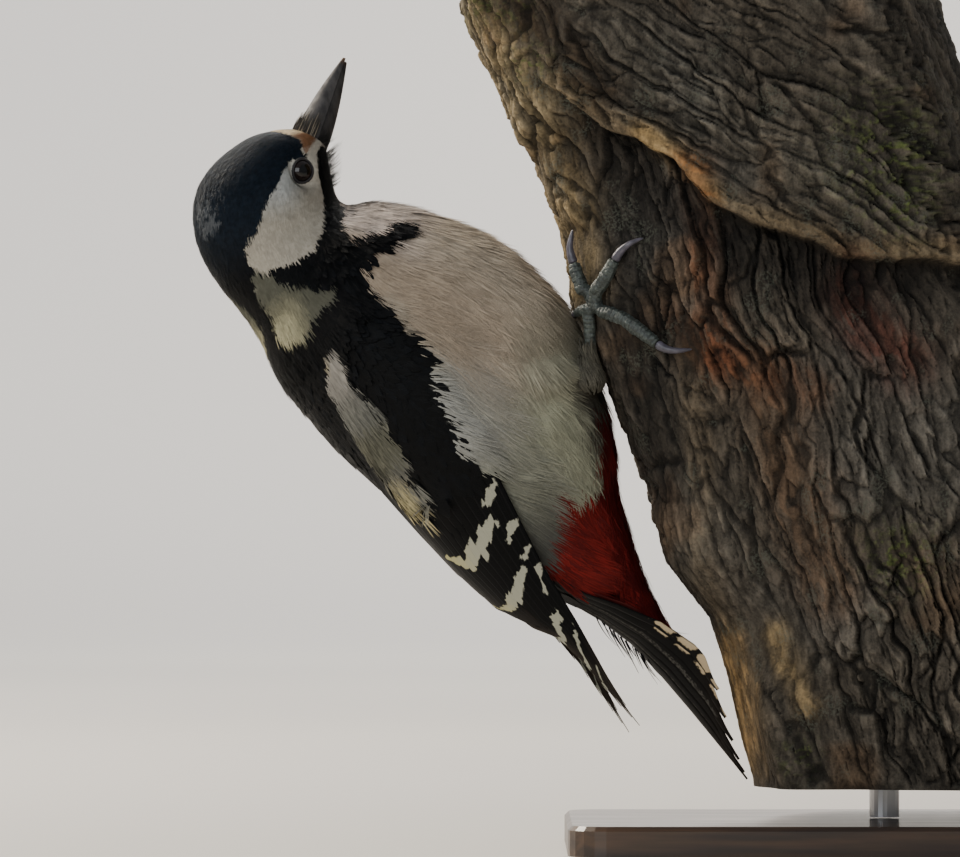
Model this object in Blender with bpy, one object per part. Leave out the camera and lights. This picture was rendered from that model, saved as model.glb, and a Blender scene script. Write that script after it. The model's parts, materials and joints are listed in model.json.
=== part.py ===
"""Great spotted woodpecker clinging to a cut length of trunk, life size, on a plain stand.

Lengths are metres.  The bird is drawn in its own frame: s runs forward along the back,
y to its left and h towards its back, and place() sets it on the trunk.
"""
import math

import bmesh
import bpy
from mathutils import Matrix, Vector
from mathutils.bvhtree import BVHTree

MM = 0.001
GAP = 0.3 * MM                      # air left between pieces that touch

# The bird in the world
LEAN = math.radians(40.5)           # back leans this far from the vertical
BIRD_ORIGIN = Vector((-110.4, -14.0, 126.0)) * MM
HEAD_YAW = math.radians(20.0)       # head turned to the bird's left
HEAD_ROLL = math.radians(22.0)      # crown tipped to the bird's right
HEAD_PIVOT = (62.0, 6.0)            # s, h of the point that the head turns about
HEAD_PITCH = math.radians(62.5)     # bill points this far below the line of the back

# Outline of the body from bill base to undertail, each station a closed oval:
# back (s, h), belly (s, h), half width and share of the head's turn.
BODY = (
    ((73.7, -16.0), (65.9, -20.5), 4.3, 1.0),
    ((75.7, -14.5), (64.8, -19.5), 5.2, 1.0),
    ((77.7, -11.2), (62.9, -18.3), 7.2, 1.0),
    ((80.5, -4.2), (59.3, -15.9), 9.6, 1.0),
    ((81.2, 3.9), (55.4, -14.0), 11.4, 1.0),
    ((80.2, 12.7), (51.9, -12.6), 13.0, 1.0),
    ((76.2, 20.7), (50.9, -12.7), 14.0, 0.95),
    ((68.3, 25.9), (50.2, -12.9), 14.6, 0.8),
    ((60.0, 27.8), (49.6, -13.3), 15.6, 0.6),
    ((52.0, 28.4), (48.6, -14.7), 17.2, 0.4),
    ((44.8, 28.6), (46.4, -17.3), 19.8, 0.2),
    ((36.9, 29.8), (42.0, -21.8), 22.4, 0.05),
    ((27.5, 32.2), (34.2, -26.8), 24.6, 0.0),
    ((18.4, 33.2), (21.3, -33.7), 25.8, 0.0),
    ((7.4, 33.2), (9.0, -37.4), 26.4, 0.0),
    ((-6.0, 32.0), (-5.0, -38.4), 26.2, 0.0),
    ((-19.0, 29.8), (-18.0, -35.8), 24.8, 0.0),
    ((-32.0, 26.4), (-31.0, -31.2), 22.4, 0.0),
    ((-44.0, 22.8), (-43.0, -25.6), 19.4, 0.0),
    ((-56.0, 18.2), (-54.5, -17.8), 15.8, 0.0),
    ((-69.6, 12.2), (-69.6, -10.8), 12.4, 0.0),
)
HEAD_END, NECK_END = 6.0, 11.0      # stations at which the thin cuts part head, neck and trunk
BODY_SIDES = 24
RINGS_PER_STATION = 2

# Undertail coverts: s, top, bottom and half width, running on under the tail
UNDERTAIL = (
    (-69.7, 4.6, -10.6, 10.6), (-78.0, 3.2, -7.4, 9.0), (-85.0, 1.4, -5.6, 6.6), (-90.0, -1.4, -4.8, 2.6),
)

# Folded wing: s, belly edge h, back edge h, thickness
WING = (
    (31.0, 4.0, 11.0, 1.6), (28.0, 1.0, 14.5, 2.4), (20.0, -1.6, 19.0, 2.8), (10.0, -1.0, 23.2, 2.8),
    (-2.0, 0.8, 27.0, 2.6), (-15.0, 2.0, 28.8, 2.4), (-30.0, 4.8, 29.0, 2.0), (-45.0, 8.4, 28.6, 1.6),
    (-58.0, 11.4, 27.2, 1.4), (-67.0, 12.6, 24.6, 1.2), (-76.0, 13.8, 21.4, 1.0), (-90.0, 16.6, 20.8, 0.9),
    (-101.0, 17.8, 20.0, 0.8), (-106.0, 18.3, 19.2, 0.6),
)
# Oval that the folded wings lie on: s, centre h, half height, half width
WING_BED = (
    (36.0, 1.2, 32.2, 24.4), (20.0, -0.4, 34.8, 26.9), (8.0, -2.2, 36.4, 27.6), (-6.0, -2.8, 36.0, 27.5),
    (-20.0, -2.0, 33.2, 26.2), (-32.0, 0.2, 29.6, 23.9), (-45.0, 3.4, 25.6, 21.1), (-60.0, 7.0, 20.4, 17.8),
    (-75.0, 9.0, 15.2, 15.2), (-90.0, 9.6, 12.8, 13.0), (-108.0, 10.0, 10.4, 11.0),
)
WING_COLUMNS = 7
WING_RINGS = 24
WING_EDGE = 0.35                    # share of its thickness that the wing keeps at its edges
WING_TIP_START = -62.0              # behind this s only the primaries go on
LEFT_TIP_LIFT = 3.4 * MM            # the far wing's point lies this much higher over the back

# Tail: s, back h at the middle, half width, droop of the outer feathers, thickness
TAIL = (
    (-70.0, 11.2, 11.0, 3.0, 3.6), (-78.0, 8.4, 13.2, 5.0, 2.8), (-88.0, 6.2, 15.6, 8.0, 2.2),
    (-100.0, 5.6, 17.4, 10.6, 1.8), (-112.0, 5.6, 17.2, 10.4, 1.6), (-122.0, 5.8, 14.0, 7.2, 1.4),
    (-130.0, 6.0, 8.6, 3.0, 1.2), (-135.6, 6.2, 3.0, 0.5, 1.0),
)
TAIL_COLUMNS = 8
TAIL_RINGS = 12
TAIL_EDGE = 0.55                    # share of its thickness that the tail keeps at its edges

# Bill, measured along it from its base
BILL_LENGTH = 25.0 * MM
BILL_HEIGHT = 9.4 * MM
BILL_WIDTH = 8.6 * MM
BILL_CHISEL = 1.1 * MM              # width of the cutting edge at the tip
BILL_TAPER = 0.87                   # share of its depth that it loses towards the tip
BILL_ARCH = 1.6                     # above 1 the taper grows towards the tip, so the profile bulges
BILL_LOWER_REACH = 0.965            # the lower half ends a little short of the upper
BILL_RINGS = 7
# One half's section in shares of half width and depth: flat cutting edge, then the curved back
BILL_SHAPE = (
    (1.0, 0.0), (0.96, 0.34), (0.62, 0.78), (0.16, 1.0), (-0.16, 1.0), (-0.62, 0.78), (-0.96, 0.34),
    (-1.0, 0.0),
)

# Eye, measured from the bill base in the head's frame: forward, up, out
EYE_CENTRE = Vector((-13.2, 2.6, 7.2)) * MM
EYE_RADIUS = 4.0 * MM
EYE_OPENING = 6.4 * MM              # radius of the flared opening at the face's surface
EYE_SIDES = 14
EYE_ARC = [math.radians(a) for a in range(-70, 80, 20)]   # latitudes of the ball's rings
SOCKET_EDGE = math.radians(20.0)    # latitude at which the socket leaves the ball and flares out
SOCKET_FLARE = 2.2 * EYE_RADIUS     # the flare ends this far out from the ball's centre

# Legs: hip, ankle and foot in the bird's frame (s, y outwards, h)
HIP = Vector((-10.0, 15.0, -16.0)) * MM
ANKLE = Vector((-25.5, 14.0, -29.8)) * MM
THIGH_RADII = (8.6, 8.2, 6.6, 4.4, 2.5)
THIGH_SIDES = 14
TARSUS_RADIUS = 1.6 * MM
TARSUS_SHAPE = (1.15, 1.0, 0.92, 0.9, 0.92, 1.0, 1.15)   # its radius along it
TARSUS_SIDES = 10
FOOT_LIFT = 2.2 * MM                # height of the foot's middle over the bark
TOE_RADIUS = 1.85 * MM
TOE_START = 3.4 * MM                # a toe starts this far from the foot's middle
TOE_SHAPE = (0.6, 0.9, 1.0, 0.94, 0.98, 0.88, 0.74)   # its radius along it, swelling at the knuckles
HALLUX_SIZE = 0.62                  # size of the small inner hind toe
CLAW_LENGTH = 10.4 * MM
CLAW_RADIUS = 1.28 * MM
CLAW_STEPS = 6
CLAW_TIP = 0.12 * MM                # radius of the claw's point
CLAW_RISE, CLAW_HOOK = 0.55, 1.25    # radians it points off the bark at first and into it at last

# Feet, each point near the bark in world mm: the foot's middle, then for each toe its
# knuckle, the root of its claw and the claw's heading.  The right foot grips the trunk's
# near corner and the left its far side.
FEET = {
    "right": {
        "foot": (-68.2, -31.0, 144.8),
        "toes": {
            "2": ((-70.2, -29.0, 150.4), (-72.2, -27.6, 155.4), (0.15, 0.0, 1.0)),
            "3": ((-64.8, -34.8, 150.2), (-61.6, -36.8, 156.0), (1.0, 0.0, 0.45)),
            "4": ((-59.8, -38.4, 141.0), (-51.4, -42.3, 134.6), (1.0, 0.0, 0.1)),
            "1": ((-71.4, -25.4, 143.0), (-71.9, -21.6, 142.6), (0.0, 1.0, -0.3)),
        },
    },
    "left": {
        "foot": (-69.0, 10.0, 143.0),
        "toes": {
            "2": ((-70.0, 9.4, 149.2), (-70.4, 9.8, 154.0), (0.0, 0.2, 1.0)),
            "3": ((-68.0, 15.2, 148.6), (-66.5, 18.4, 153.2), (0.0, 0.6, 0.9)),
            "4": ((-66.5, 17.6, 143.2), (-65.0, 24.4, 142.4), (0.1, 1.0, 0.1)),
            "1": ((-67.5, 13.2, 139.0), (-66.0, 15.6, 135.8), (0.2, 0.5, -0.8)),
        },
    },
}

# Trunk
LOG_BOTTOM, LOG_TOP = 17.2 * MM, 234.0 * MM
LOG_HALF_X, LOG_HALF_Y = 60.0 * MM, 52.0 * MM
LOG_SQUARENESS = 4.0
LOG_TURN = math.radians(-14.0)
LOG_REACH = 62.7 * MM               # from the axis to the left edge of the plain section
LOG_SIDES, LOG_RINGS = 44, 20
# Left edge of the trunk as it rises: height, x
LOG_EDGE = (
    (17.2, -23.6), (30.0, -27.0), (46.0, -30.4), (62.0, -35.2), (76.0, -46.6), (98.0, -54.8), (110.0, -59.4),
    (122.0, -64.2), (131.0, -67.4), (140.0, -71.2), (164.0, -74.0), (182.0, -80.6), (199.0, -89.3),
    (216.0, -97.6), (234.0, -104.6),
)
LOG_AXIS_BOTTOM, LOG_AXIS_TOP = 35.0 * MM, -42.0 * MM   # x of the axis at each end
BARK_RIDGE = 1.1 * MM               # height of the ridges round the trunk
BARK_RIDGES = 9
BARK_DRIFT = 26.0 * MM              # height over which a ridge wanders sideways
CALM_ANGLE, CALM_WIDTH = math.radians(215.0), 0.45   # smoother bark under the bird
CALM_SHARE = 0.75
FLAKE_ANGLE = math.radians(220.0)   # a thick flake of bark near the foot of the perch
FLAKE_HEIGHT, FLAKE_TALLNESS = 26.0 * MM, 22.0 * MM
FLAKE_WIDTH = 0.14
FLAKE_DEPTH = 9.0 * MM

# Stand
BASE_LENGTH, BASE_DEPTH, BASE_HEIGHT = 150.0 * MM, 116.0 * MM, 8.0 * MM
BASE_CORNER = 10.0 * MM
BASE_BEVEL = 1.2 * MM
ROD_RADIUS = 4.0 * MM
ROD_XS = (10.0 * MM, 56.0 * MM)
ROD_DEPTH = 14.0 * MM               # length of each rod inside the trunk
ROD_SIDES = 20


def clear_scene():
    """Remove every object that the file starts with."""
    for item in list(bpy.data.objects):
        bpy.data.objects.remove(item, do_unlink=True)


def finish_material(name, colour, roughness, metallic=0.0):
    """Return a Principled material."""
    material = bpy.data.materials.get(name) or bpy.data.materials.new(name)
    material.use_nodes = True
    shader = material.node_tree.nodes["Principled BSDF"]
    shader.inputs["Base Color"].default_value = (*colour, 1.0)
    shader.inputs["Roughness"].default_value = roughness
    shader.inputs["Metallic"].default_value = metallic
    return material


def mesh_object(name, rings, material):
    """Join closed rings of points into one closed body."""
    mesh = bmesh.new()
    loops = [[mesh.verts.new(point) for point in ring] for ring in rings]
    for lower, upper in zip(loops, loops[1:]):
        for i, corner in enumerate(lower):
            j = (i + 1) % len(lower)
            mesh.faces.new((corner, lower[j], upper[j], upper[i]))
    for loop in (loops[0], loops[-1]):
        middle = mesh.verts.new(sum((v.co for v in loop), Vector()) / len(loop))
        for i, corner in enumerate(loop):
            mesh.faces.new((corner, loop[(i + 1) % len(loop)], middle))
    bmesh.ops.recalc_face_normals(mesh, faces=mesh.faces)
    return bmesh_object(name, mesh, material)


def bmesh_object(name, mesh, material):
    """Turn a bmesh into a linked, smooth-shaded object."""
    data = bpy.data.meshes.new(name)
    mesh.to_mesh(data)
    mesh.free()
    item = bpy.data.objects.new(name, data)
    bpy.context.scene.collection.objects.link(item)
    data.shade_smooth()
    data.set_sharp_from_angle(angle=math.radians(50.0))
    if material:
        data.materials.append(material)
    return item


def as_cutter(item):
    """Keep an object as a hidden tool for a Boolean."""
    item.hide_render = True
    item.display_type = "WIRE"
    return item


def cut(item, cutter):
    """Cut one object with another by an exact Boolean."""
    modifier = item.modifiers.new("cut " + cutter.name, "BOOLEAN")
    modifier.operation = "DIFFERENCE"
    modifier.solver = "EXACT"
    modifier.object = cutter


def smooth_table(rows, parameter, key=0):
    """Read a table of rows at any value of its key column by a smooth curve through them."""
    ordered = sorted(rows, key=lambda row: row[key])
    keys = [row[key] for row in ordered]
    value = min(max(parameter, keys[0]), keys[-1])
    i = max(0, min(len(keys) - 2, sum(1 for k in keys[1:-1] if k <= value)))
    t = (value - keys[i]) / (keys[i + 1] - keys[i])
    before, after = ordered[max(i - 1, 0)], ordered[min(i + 2, len(keys) - 1)]
    return [
        hermite(before[c], ordered[i][c], ordered[i + 1][c], after[c],
                (before[key], keys[i], keys[i + 1], after[key]), t)
        for c in range(len(ordered[0]))
    ]


def hermite(p0, p1, p2, p3, keys, t):
    """Blend four values at uneven keys, without overshoot at peaks."""
    k0, k1, k2, k3 = keys
    slope = (p2 - p1) / (k2 - k1)
    left = slope if k1 == k0 else (p1 - p0) / (k1 - k0)
    right = slope if k3 == k2 else (p3 - p2) / (k3 - k2)
    start = 0.0 if left * slope <= 0.0 else (left + slope) / 2.0
    end = 0.0 if right * slope <= 0.0 else (right + slope) / 2.0
    span = k2 - k1
    h00 = 2 * t ** 3 - 3 * t ** 2 + 1
    h10 = t ** 3 - 2 * t ** 2 + t
    return h00 * p1 + h10 * span * start + (1 - h00) * p2 + (t ** 3 - t ** 2) * span * end


def bird_axes():
    """Return the bird's forward, left and back directions in the world."""
    forward = Vector((-math.sin(LEAN), 0.0, math.cos(LEAN)))
    left = Vector((0.0, 1.0, 0.0))
    return forward, left, forward.cross(left)


def place(s, y, h):
    """Return the world point of a point in the bird's frame."""
    forward, left, back = bird_axes()
    return BIRD_ORIGIN + forward * s + left * y + back * h


def head_turn(share):
    """Return the rotation of the head, or a share of it, about its pivot."""
    forward, left, back = bird_axes()
    bill = forward * math.cos(HEAD_PITCH) - back * math.sin(HEAD_PITCH)
    crown = left.cross(bill) * -1.0
    yaw = Matrix.Rotation(HEAD_YAW * share, 3, crown)
    turned_bill = yaw @ bill
    return Matrix.Rotation(HEAD_ROLL * share, 3, turned_bill) @ yaw


def turn_about_pivot(point, share):
    """Turn a world point with the head by a share of the full turn."""
    pivot = place(HEAD_PIVOT[0] * MM, 0.0, HEAD_PIVOT[1] * MM)
    return pivot + head_turn(share) @ (point - pivot)


def oval(centre, up, side, half_height, half_width, count):
    """Return the points of an oval ring."""
    angles = [2.0 * math.pi * i / count for i in range(count)]
    return [centre + side * (half_width * math.cos(a)) + up * (half_height * math.sin(a)) for a in angles]


def body_ring(station, shift=0.0):
    """Return the body's outline at a station, moved along the spine by shift."""
    rows = [(i, *back, *belly, width, share) for i, (back, belly, width, share) in enumerate(BODY)]
    _, back_s, back_h, belly_s, belly_h, width, share = smooth_table(rows, station)
    top = place(back_s * MM, 0.0, back_h * MM)
    bottom = place(belly_s * MM, 0.0, belly_h * MM)
    side = bird_axes()[1]
    up = (top - bottom).normalized()
    turn = head_turn(share)
    centre = turn_about_pivot((top + bottom) / 2.0, share)
    along = side.cross(up)
    half_height = (top - bottom).length / 2.0
    return oval(centre + turn @ along * shift, turn @ up, turn @ side, half_height, width * MM, BODY_SIDES)


def body_piece(name, first, last, material, extra_rings=()):
    """Build the length of body between two stations, drawn back from the cuts at its ends."""
    steps = max(2, round((last - first) * RINGS_PER_STATION))
    rings = []
    for i in range(steps + 1):
        station = first + (last - first) * i / steps
        shift = 0.0
        if i == 0 and first > 0.0:
            shift = -GAP / 2.0
        if i == steps and last < len(BODY) - 1:
            shift = GAP / 2.0
        rings.append(body_ring(station, shift))
    return mesh_object(name, rings + list(extra_rings), material)


def undertail_rings():
    """Return the rings of the feathers under the tail."""
    side, up = bird_axes()[1], bird_axes()[2]
    rings = []
    for s, top, bottom, width in UNDERTAIL:
        centre = place(s * MM, 0.0, (top + bottom) / 2.0 * MM)
        rings.append(oval(centre, up, side, (top - bottom) / 2.0 * MM, width * MM, BODY_SIDES))
    return rings


def head_frame():
    """Return the bill base and the head's forward, up and right directions."""
    points = body_ring(0.0)
    base = sum(points, Vector()) / len(points)
    forward, left, back = bird_axes()
    turn = head_turn(1.0)
    bill = turn @ (forward * math.cos(HEAD_PITCH) - back * math.sin(HEAD_PITCH))
    right = turn @ (left * -1.0)
    return base, bill, right.cross(bill), right


def bill_section(distance, upper):
    """Return one mandible's closed section at a distance from the bill base."""
    base, forward, up, right = head_frame()
    t = distance / BILL_LENGTH
    narrowing = 1.0 - BILL_TAPER * t ** BILL_ARCH
    height = BILL_HEIGHT / 2.0 * narrowing
    half_width = max(BILL_CHISEL / 2.0, BILL_WIDTH / 2.0 * narrowing * (1.0 - 0.35 * t))
    centre = base + forward * distance
    sign = 1.0 if upper else -1.0
    return [
        centre + right * (half_width * x) + up * (sign * (GAP / 2.0 + height * y))
        for x, y in BILL_SHAPE
    ]


def build_bill(material):
    """Build both mandibles, straight and chisel-tipped."""
    for name, upper, reach in (("bill_upper", True, 1.0), ("bill_lower", False, BILL_LOWER_REACH)):
        rings = [
            bill_section(GAP + (BILL_LENGTH * reach - GAP) * i / BILL_RINGS, upper)
            for i in range(BILL_RINGS + 1)
        ]
        mesh_object(name, rings, material)


def eye_place(side):
    """Return an eye's centre and outward direction; side is 1 for right and -1 for left."""
    base, forward, up, right = head_frame()
    out = right * side
    centre = base + forward * EYE_CENTRE.x + up * EYE_CENTRE.y + out * EYE_CENTRE.z
    return centre, out


def turned_body(name, profile, centre, axis, sides, material):
    """Turn a profile of (distance along the axis, radius) into a round closed body."""
    side = axis.orthogonal().normalized()
    up = axis.cross(side)
    rings = [oval(centre + axis * along, up, side, radius, radius, sides) for along, radius in profile]
    return mesh_object(name, rings, material)


def build_eyes(head, material):
    """Build both eyes and open the sockets that they sit in."""
    for name, side in (("eye_right", 1.0), ("eye_left", -1.0)):
        centre, out = eye_place(side)
        ball = [(EYE_RADIUS * math.sin(a), EYE_RADIUS * math.cos(a)) for a in EYE_ARC]
        turned_body(name, ball, centre, out, EYE_SIDES, material)
        room = EYE_RADIUS + GAP
        socket = [(room * math.sin(a), room * math.cos(a)) for a in EYE_ARC if a < SOCKET_EDGE]
        socket.append((SOCKET_FLARE, EYE_OPENING))
        cutter = as_cutter(turned_body("guide_socket_" + name, socket, centre, out, EYE_SIDES, None))
        cut(head, cutter)


def wing_ring(row, side, lift):
    """Return the wing's closed section at one station of its length."""
    s, belly_h, back_h, thickness = row
    _, middle, half_height, half_width = smooth_table(WING_BED, s)
    start = math.asin(max(-1.0, min(1.0, (belly_h - middle) / half_height)))
    end = math.asin(max(-1.0, min(0.995, (back_h - middle) / half_height)))
    inner, outer = [], []
    for i in range(WING_COLUMNS + 1):
        t = i / WING_COLUMNS
        angle = start + (end - start) * t
        edge = thickness * (WING_EDGE + (1.0 - WING_EDGE) * math.sin(math.pi * t) ** 0.6)
        for points, grow in ((inner, 0.0), (outer, edge)):
            y = side * (half_width + grow) * math.cos(angle)
            h = middle + (half_height + grow) * math.sin(angle)
            points.append(place(s * MM, y * MM, h * MM + lift))
    return inner + outer[::-1]


def build_wing(name, side, material):
    """Build a folded wing from wrist to the points of the primaries."""
    first, last = WING[0][0], WING[-1][0]
    rings = []
    for i in range(WING_RINGS + 1):
        s = first + (last - first) * i / WING_RINGS
        lift = 0.0
        if side > 0.0 and s < WING_TIP_START:
            lift = LEFT_TIP_LIFT * ((WING_TIP_START - s) / (WING_TIP_START - last)) ** 1.5
        rings.append(wing_ring(smooth_table(WING, s), side, lift))
    return mesh_object(name, rings, material)


def tail_ring(row):
    """Return the tail's closed section: a flat arch, lowest at its outer feathers."""
    s, top, half_width, droop, thickness = row
    above, below = [], []
    for i in range(TAIL_COLUMNS + 1):
        x = 2.0 * i / TAIL_COLUMNS - 1.0
        sag = droop * abs(x) ** 1.7
        wall = thickness * (1.0 - (1.0 - TAIL_EDGE) * abs(x) ** 3)
        above.append(place(s * MM, x * half_width * MM, (top - sag) * MM))
        below.append(place(s * MM, x * half_width * MM, (top - sag - wall) * MM))
    return above + below[::-1]


def build_tail(material):
    """Build the closed fan of stiff tail feathers."""
    first, last = TAIL[0][0], TAIL[-1][0]
    rows = [smooth_table(TAIL, first + (last - first) * i / TAIL_RINGS) for i in range(TAIL_RINGS + 1)]
    return mesh_object("tail", [tail_ring(row) for row in rows], material)


def superellipse(angle):
    """Return the trunk's plain section point at an angle, before its lean and ridges."""
    c, s = math.cos(angle - LOG_TURN), math.sin(angle - LOG_TURN)
    power = (abs(c) / LOG_HALF_X) ** LOG_SQUARENESS + (abs(s) / LOG_HALF_Y) ** LOG_SQUARENESS
    return power ** (-1.0 / LOG_SQUARENESS)


def trunk_axis(z):
    """Return the x of the trunk's leaning axis at a height."""
    t = (z - LOG_BOTTOM) / (LOG_TOP - LOG_BOTTOM)
    return LOG_AXIS_BOTTOM + (LOG_AXIS_TOP - LOG_AXIS_BOTTOM) * t


def trunk_point(angle, z):
    """Return a point of the bark at an angle about the trunk and a height."""
    axis = trunk_axis(z)
    edge = smooth_table(LOG_EDGE, z / MM)[1] * MM
    bulge = axis - LOG_REACH - edge
    leftness = max(0.0, -math.cos(angle)) ** 1.2
    wave = math.sin(BARK_RIDGES * angle + 2.2 * math.sin(z / BARK_DRIFT))
    calm = 1.0 - CALM_SHARE * math.exp(-((angle - CALM_ANGLE) / CALM_WIDTH) ** 2)
    around = (angle - FLAKE_ANGLE) / FLAKE_WIDTH
    upward = (z - FLAKE_HEIGHT) / FLAKE_TALLNESS
    flake = math.exp(-around ** 2 - upward ** 4)
    radius = superellipse(angle) + bulge * leftness + BARK_RIDGE * wave * calm + FLAKE_DEPTH * flake
    return Vector((axis + radius * math.cos(angle), radius * math.sin(angle), z))


def build_trunk(material):
    """Build the cut length of trunk with its flat sawn ends."""
    rings = []
    for i in range(LOG_RINGS + 1):
        z = LOG_BOTTOM + (LOG_TOP - LOG_BOTTOM) * i / LOG_RINGS
        rings.append([trunk_point(2.0 * math.pi * k / LOG_SIDES, z) for k in range(LOG_SIDES)])
    return mesh_object("perch_trunk", rings, material)


def bark_tree(trunk):
    """Return a search tree of the trunk's surface."""
    mesh = bmesh.new()
    mesh.from_mesh(trunk.data)
    bmesh.ops.triangulate(mesh, faces=mesh.faces)
    tree = BVHTree.FromBMesh(mesh)
    mesh.free()
    return tree


def above_bark(tree, point, height):
    """Return the point at a height over the bark nearest to a point."""
    spot, normal, _, _ = tree.find_nearest(point)
    return spot + normal * height


def tube(name, path, radii, sides, material):
    """Sweep a round section of changing radius along a path."""
    rings = []
    side = None
    for i, point in enumerate(path):
        ahead = path[min(i + 1, len(path) - 1)] - path[max(i - 1, 0)]
        ahead.normalize()
        if side is None:
            side = ahead.orthogonal().normalized()
        side = (side - ahead * side.dot(ahead)).normalized()
        rings.append(oval(point, ahead.cross(side), side, radii[i], radii[i], sides))
    return mesh_object(name, rings, material)


def curve_points(points, steps):
    """Return points along a smooth curve through a few points."""
    spaced = [points[0]]
    for i in range(len(points) - 1):
        p0, p1 = points[max(i - 1, 0)], points[i]
        p2, p3 = points[i + 1], points[min(i + 2, len(points) - 1)]
        for k in range(1, steps + 1):
            t = k / steps
            spaced.append(0.5 * ((2 * p1) + (p2 - p0) * t + (2 * p0 - 5 * p1 + 4 * p2 - p3) * t ** 2
                                 + (3 * p1 - p0 - 3 * p2 + p3) * t ** 3))
    return spaced


def build_toe(name, tree, foot, bones, material, horn):
    """Build one toe lying on the bark and the claw that hooks into it."""
    first, second, heading = bones
    size = HALLUX_SIZE if name.startswith("1") else 1.0
    radius = TOE_RADIUS * size
    points = [above_bark(tree, Vector(foot) * MM, FOOT_LIFT)]
    points += [above_bark(tree, Vector(knuckle) * MM, radius + GAP) for knuckle in (first, second)]
    ahead = (points[1] - points[0]).normalized()
    points[0] = points[0] + ahead * TOE_START
    path = curve_points(points, 3)
    radii = [radius * factor for factor in TOE_SHAPE]
    keep_clear(tree, path, radii)
    tube("toe_" + name, path, radii, 7, material)
    toe_end = (path[-1] - path[-2]).normalized()
    build_claw("claw_" + name, tree, path[-1], toe_end, Vector(heading), size, horn)


def build_claw(name, tree, root, toe_ahead, heading, size, horn):
    """Build a claw that leaves the toe's end straight and hooks down to the bark."""
    _, normal, _, _ = tree.find_nearest(root)
    heading = (heading - normal * heading.dot(normal)).normalized()
    point = root + toe_ahead * GAP
    claw, radii = [point], []
    for i in range(CLAW_STEPS + 1):
        t = i / CLAW_STEPS
        radii.append(CLAW_RADIUS * size * (1.0 - t) ** 0.8 + CLAW_TIP)
        lean = CLAW_RISE - (CLAW_RISE + CLAW_HOOK) * t
        free = 1.0 - (1.0 - t) ** 3
        bend = toe_ahead * (1.0 - free) + (heading * math.cos(lean) + normal * math.sin(lean)) * free
        point = point + bend.normalized() * (CLAW_LENGTH * size / CLAW_STEPS)
        claw.append(point)
    claw = claw[:len(radii)]
    keep_clear(tree, claw, radii, 2)
    tube(name, claw, radii, 6, horn)


def keep_clear(tree, path, radii, first=0):
    """Lift the points of a path that come too near to the bark, from one point on."""
    for i in range(first, len(path)):
        spot, normal, _, _ = tree.find_nearest(path[i])
        shortfall = radii[i] + GAP * 1.2 - (path[i] - spot).dot(normal)
        if shortfall > 0.0:
            path[i] = path[i] + normal * shortfall


def build_leg(name, side, tree, torso, feathers, skin, horn):
    """Build one leg: feathered thigh, scaly shank, toes and claws."""
    hip = place(HIP.x, side * HIP.y, HIP.z)
    ankle = place(ANKLE.x, side * ANKLE.y, ANKLE.z)
    thigh = [hip.lerp(ankle, i / 4) for i in range(5)]
    radii = [r * MM for r in THIGH_RADII]
    tube("thigh_" + name, thigh, radii, THIGH_SIDES, feathers)
    axis = (ankle - hip).normalized()
    room = [hip - axis * GAP] + thigh[1:-1] + [ankle + axis * GAP]
    grown = [r + GAP for r in radii]
    cut(torso, as_cutter(tube("guide_thigh_" + name, room, grown, THIGH_SIDES, None)))
    foot = FEET[name]["foot"]
    middle = above_bark(tree, Vector(foot) * MM, FOOT_LIFT)
    down = (middle - ankle).normalized()
    hock = ankle + axis * (GAP * 3.0 + TARSUS_RADIUS * TARSUS_SHAPE[0])
    shank = [hock, hock.lerp(middle, 0.5), middle - down * GAP]
    shank = curve_points(shank, 3)
    girth = [TARSUS_RADIUS * share for share in TARSUS_SHAPE]
    tube("tarsus_" + name, shank, girth, TARSUS_SIDES, skin)
    for toe, bones in FEET[name]["toes"].items():
        build_toe(toe + "_" + name, tree, foot, bones, skin, horn)


def rounded_plate(mesh, length, depth, corner, z, segments=5):
    """Return the loop of a round-cornered rectangle at a height."""
    loop = []
    for k, (sx, sy) in enumerate(((1, 1), (-1, 1), (-1, -1), (1, -1))):
        for i in range(segments + 1):
            a = math.pi / 2.0 * (k + i / segments)
            x = sx * (length / 2.0 - corner) + corner * math.cos(a)
            y = sy * (depth / 2.0 - corner) + corner * math.sin(a)
            loop.append(mesh.verts.new((x, y, z)))
    return loop


def build_base(material):
    """Build the flat base with a bevelled upper edge."""
    mesh = bmesh.new()
    levels = ((0.0, 0.0), (0.0, BASE_HEIGHT - BASE_BEVEL), (BASE_BEVEL, BASE_HEIGHT))
    loops = [
        rounded_plate(mesh, BASE_LENGTH - 2 * inset, BASE_DEPTH - 2 * inset, BASE_CORNER - inset, z)
        for inset, z in levels
    ]
    for lower, upper in zip(loops, loops[1:]):
        for i, corner in enumerate(lower):
            j = (i + 1) % len(lower)
            mesh.faces.new((corner, lower[j], upper[j], upper[i]))
    mesh.faces.new(loops[0])
    mesh.faces.new(loops[-1])
    bmesh.ops.recalc_face_normals(mesh, faces=mesh.faces)
    return bmesh_object("stand_base", mesh, material)


def build_rods(trunk, material):
    """Build the rods from the base up into bores in the trunk."""
    upright = Vector((0.0, 0.0, 1.0))
    for i, x in enumerate(ROD_XS, start=1):
        foot = Vector((x, 0.0, BASE_HEIGHT + GAP))
        top = LOG_BOTTOM + ROD_DEPTH - foot.z
        rod = ((0.0, ROD_RADIUS), (top, ROD_RADIUS))
        turned_body(f"stand_rod_{i}", rod, foot, upright, ROD_SIDES, material)
        bore = ((BASE_HEIGHT / 2.0, ROD_RADIUS + GAP), (top + GAP, ROD_RADIUS + GAP))
        cut(trunk, as_cutter(turned_body(f"guide_bore_{i}", bore, foot, upright, ROD_SIDES, None)))


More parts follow.
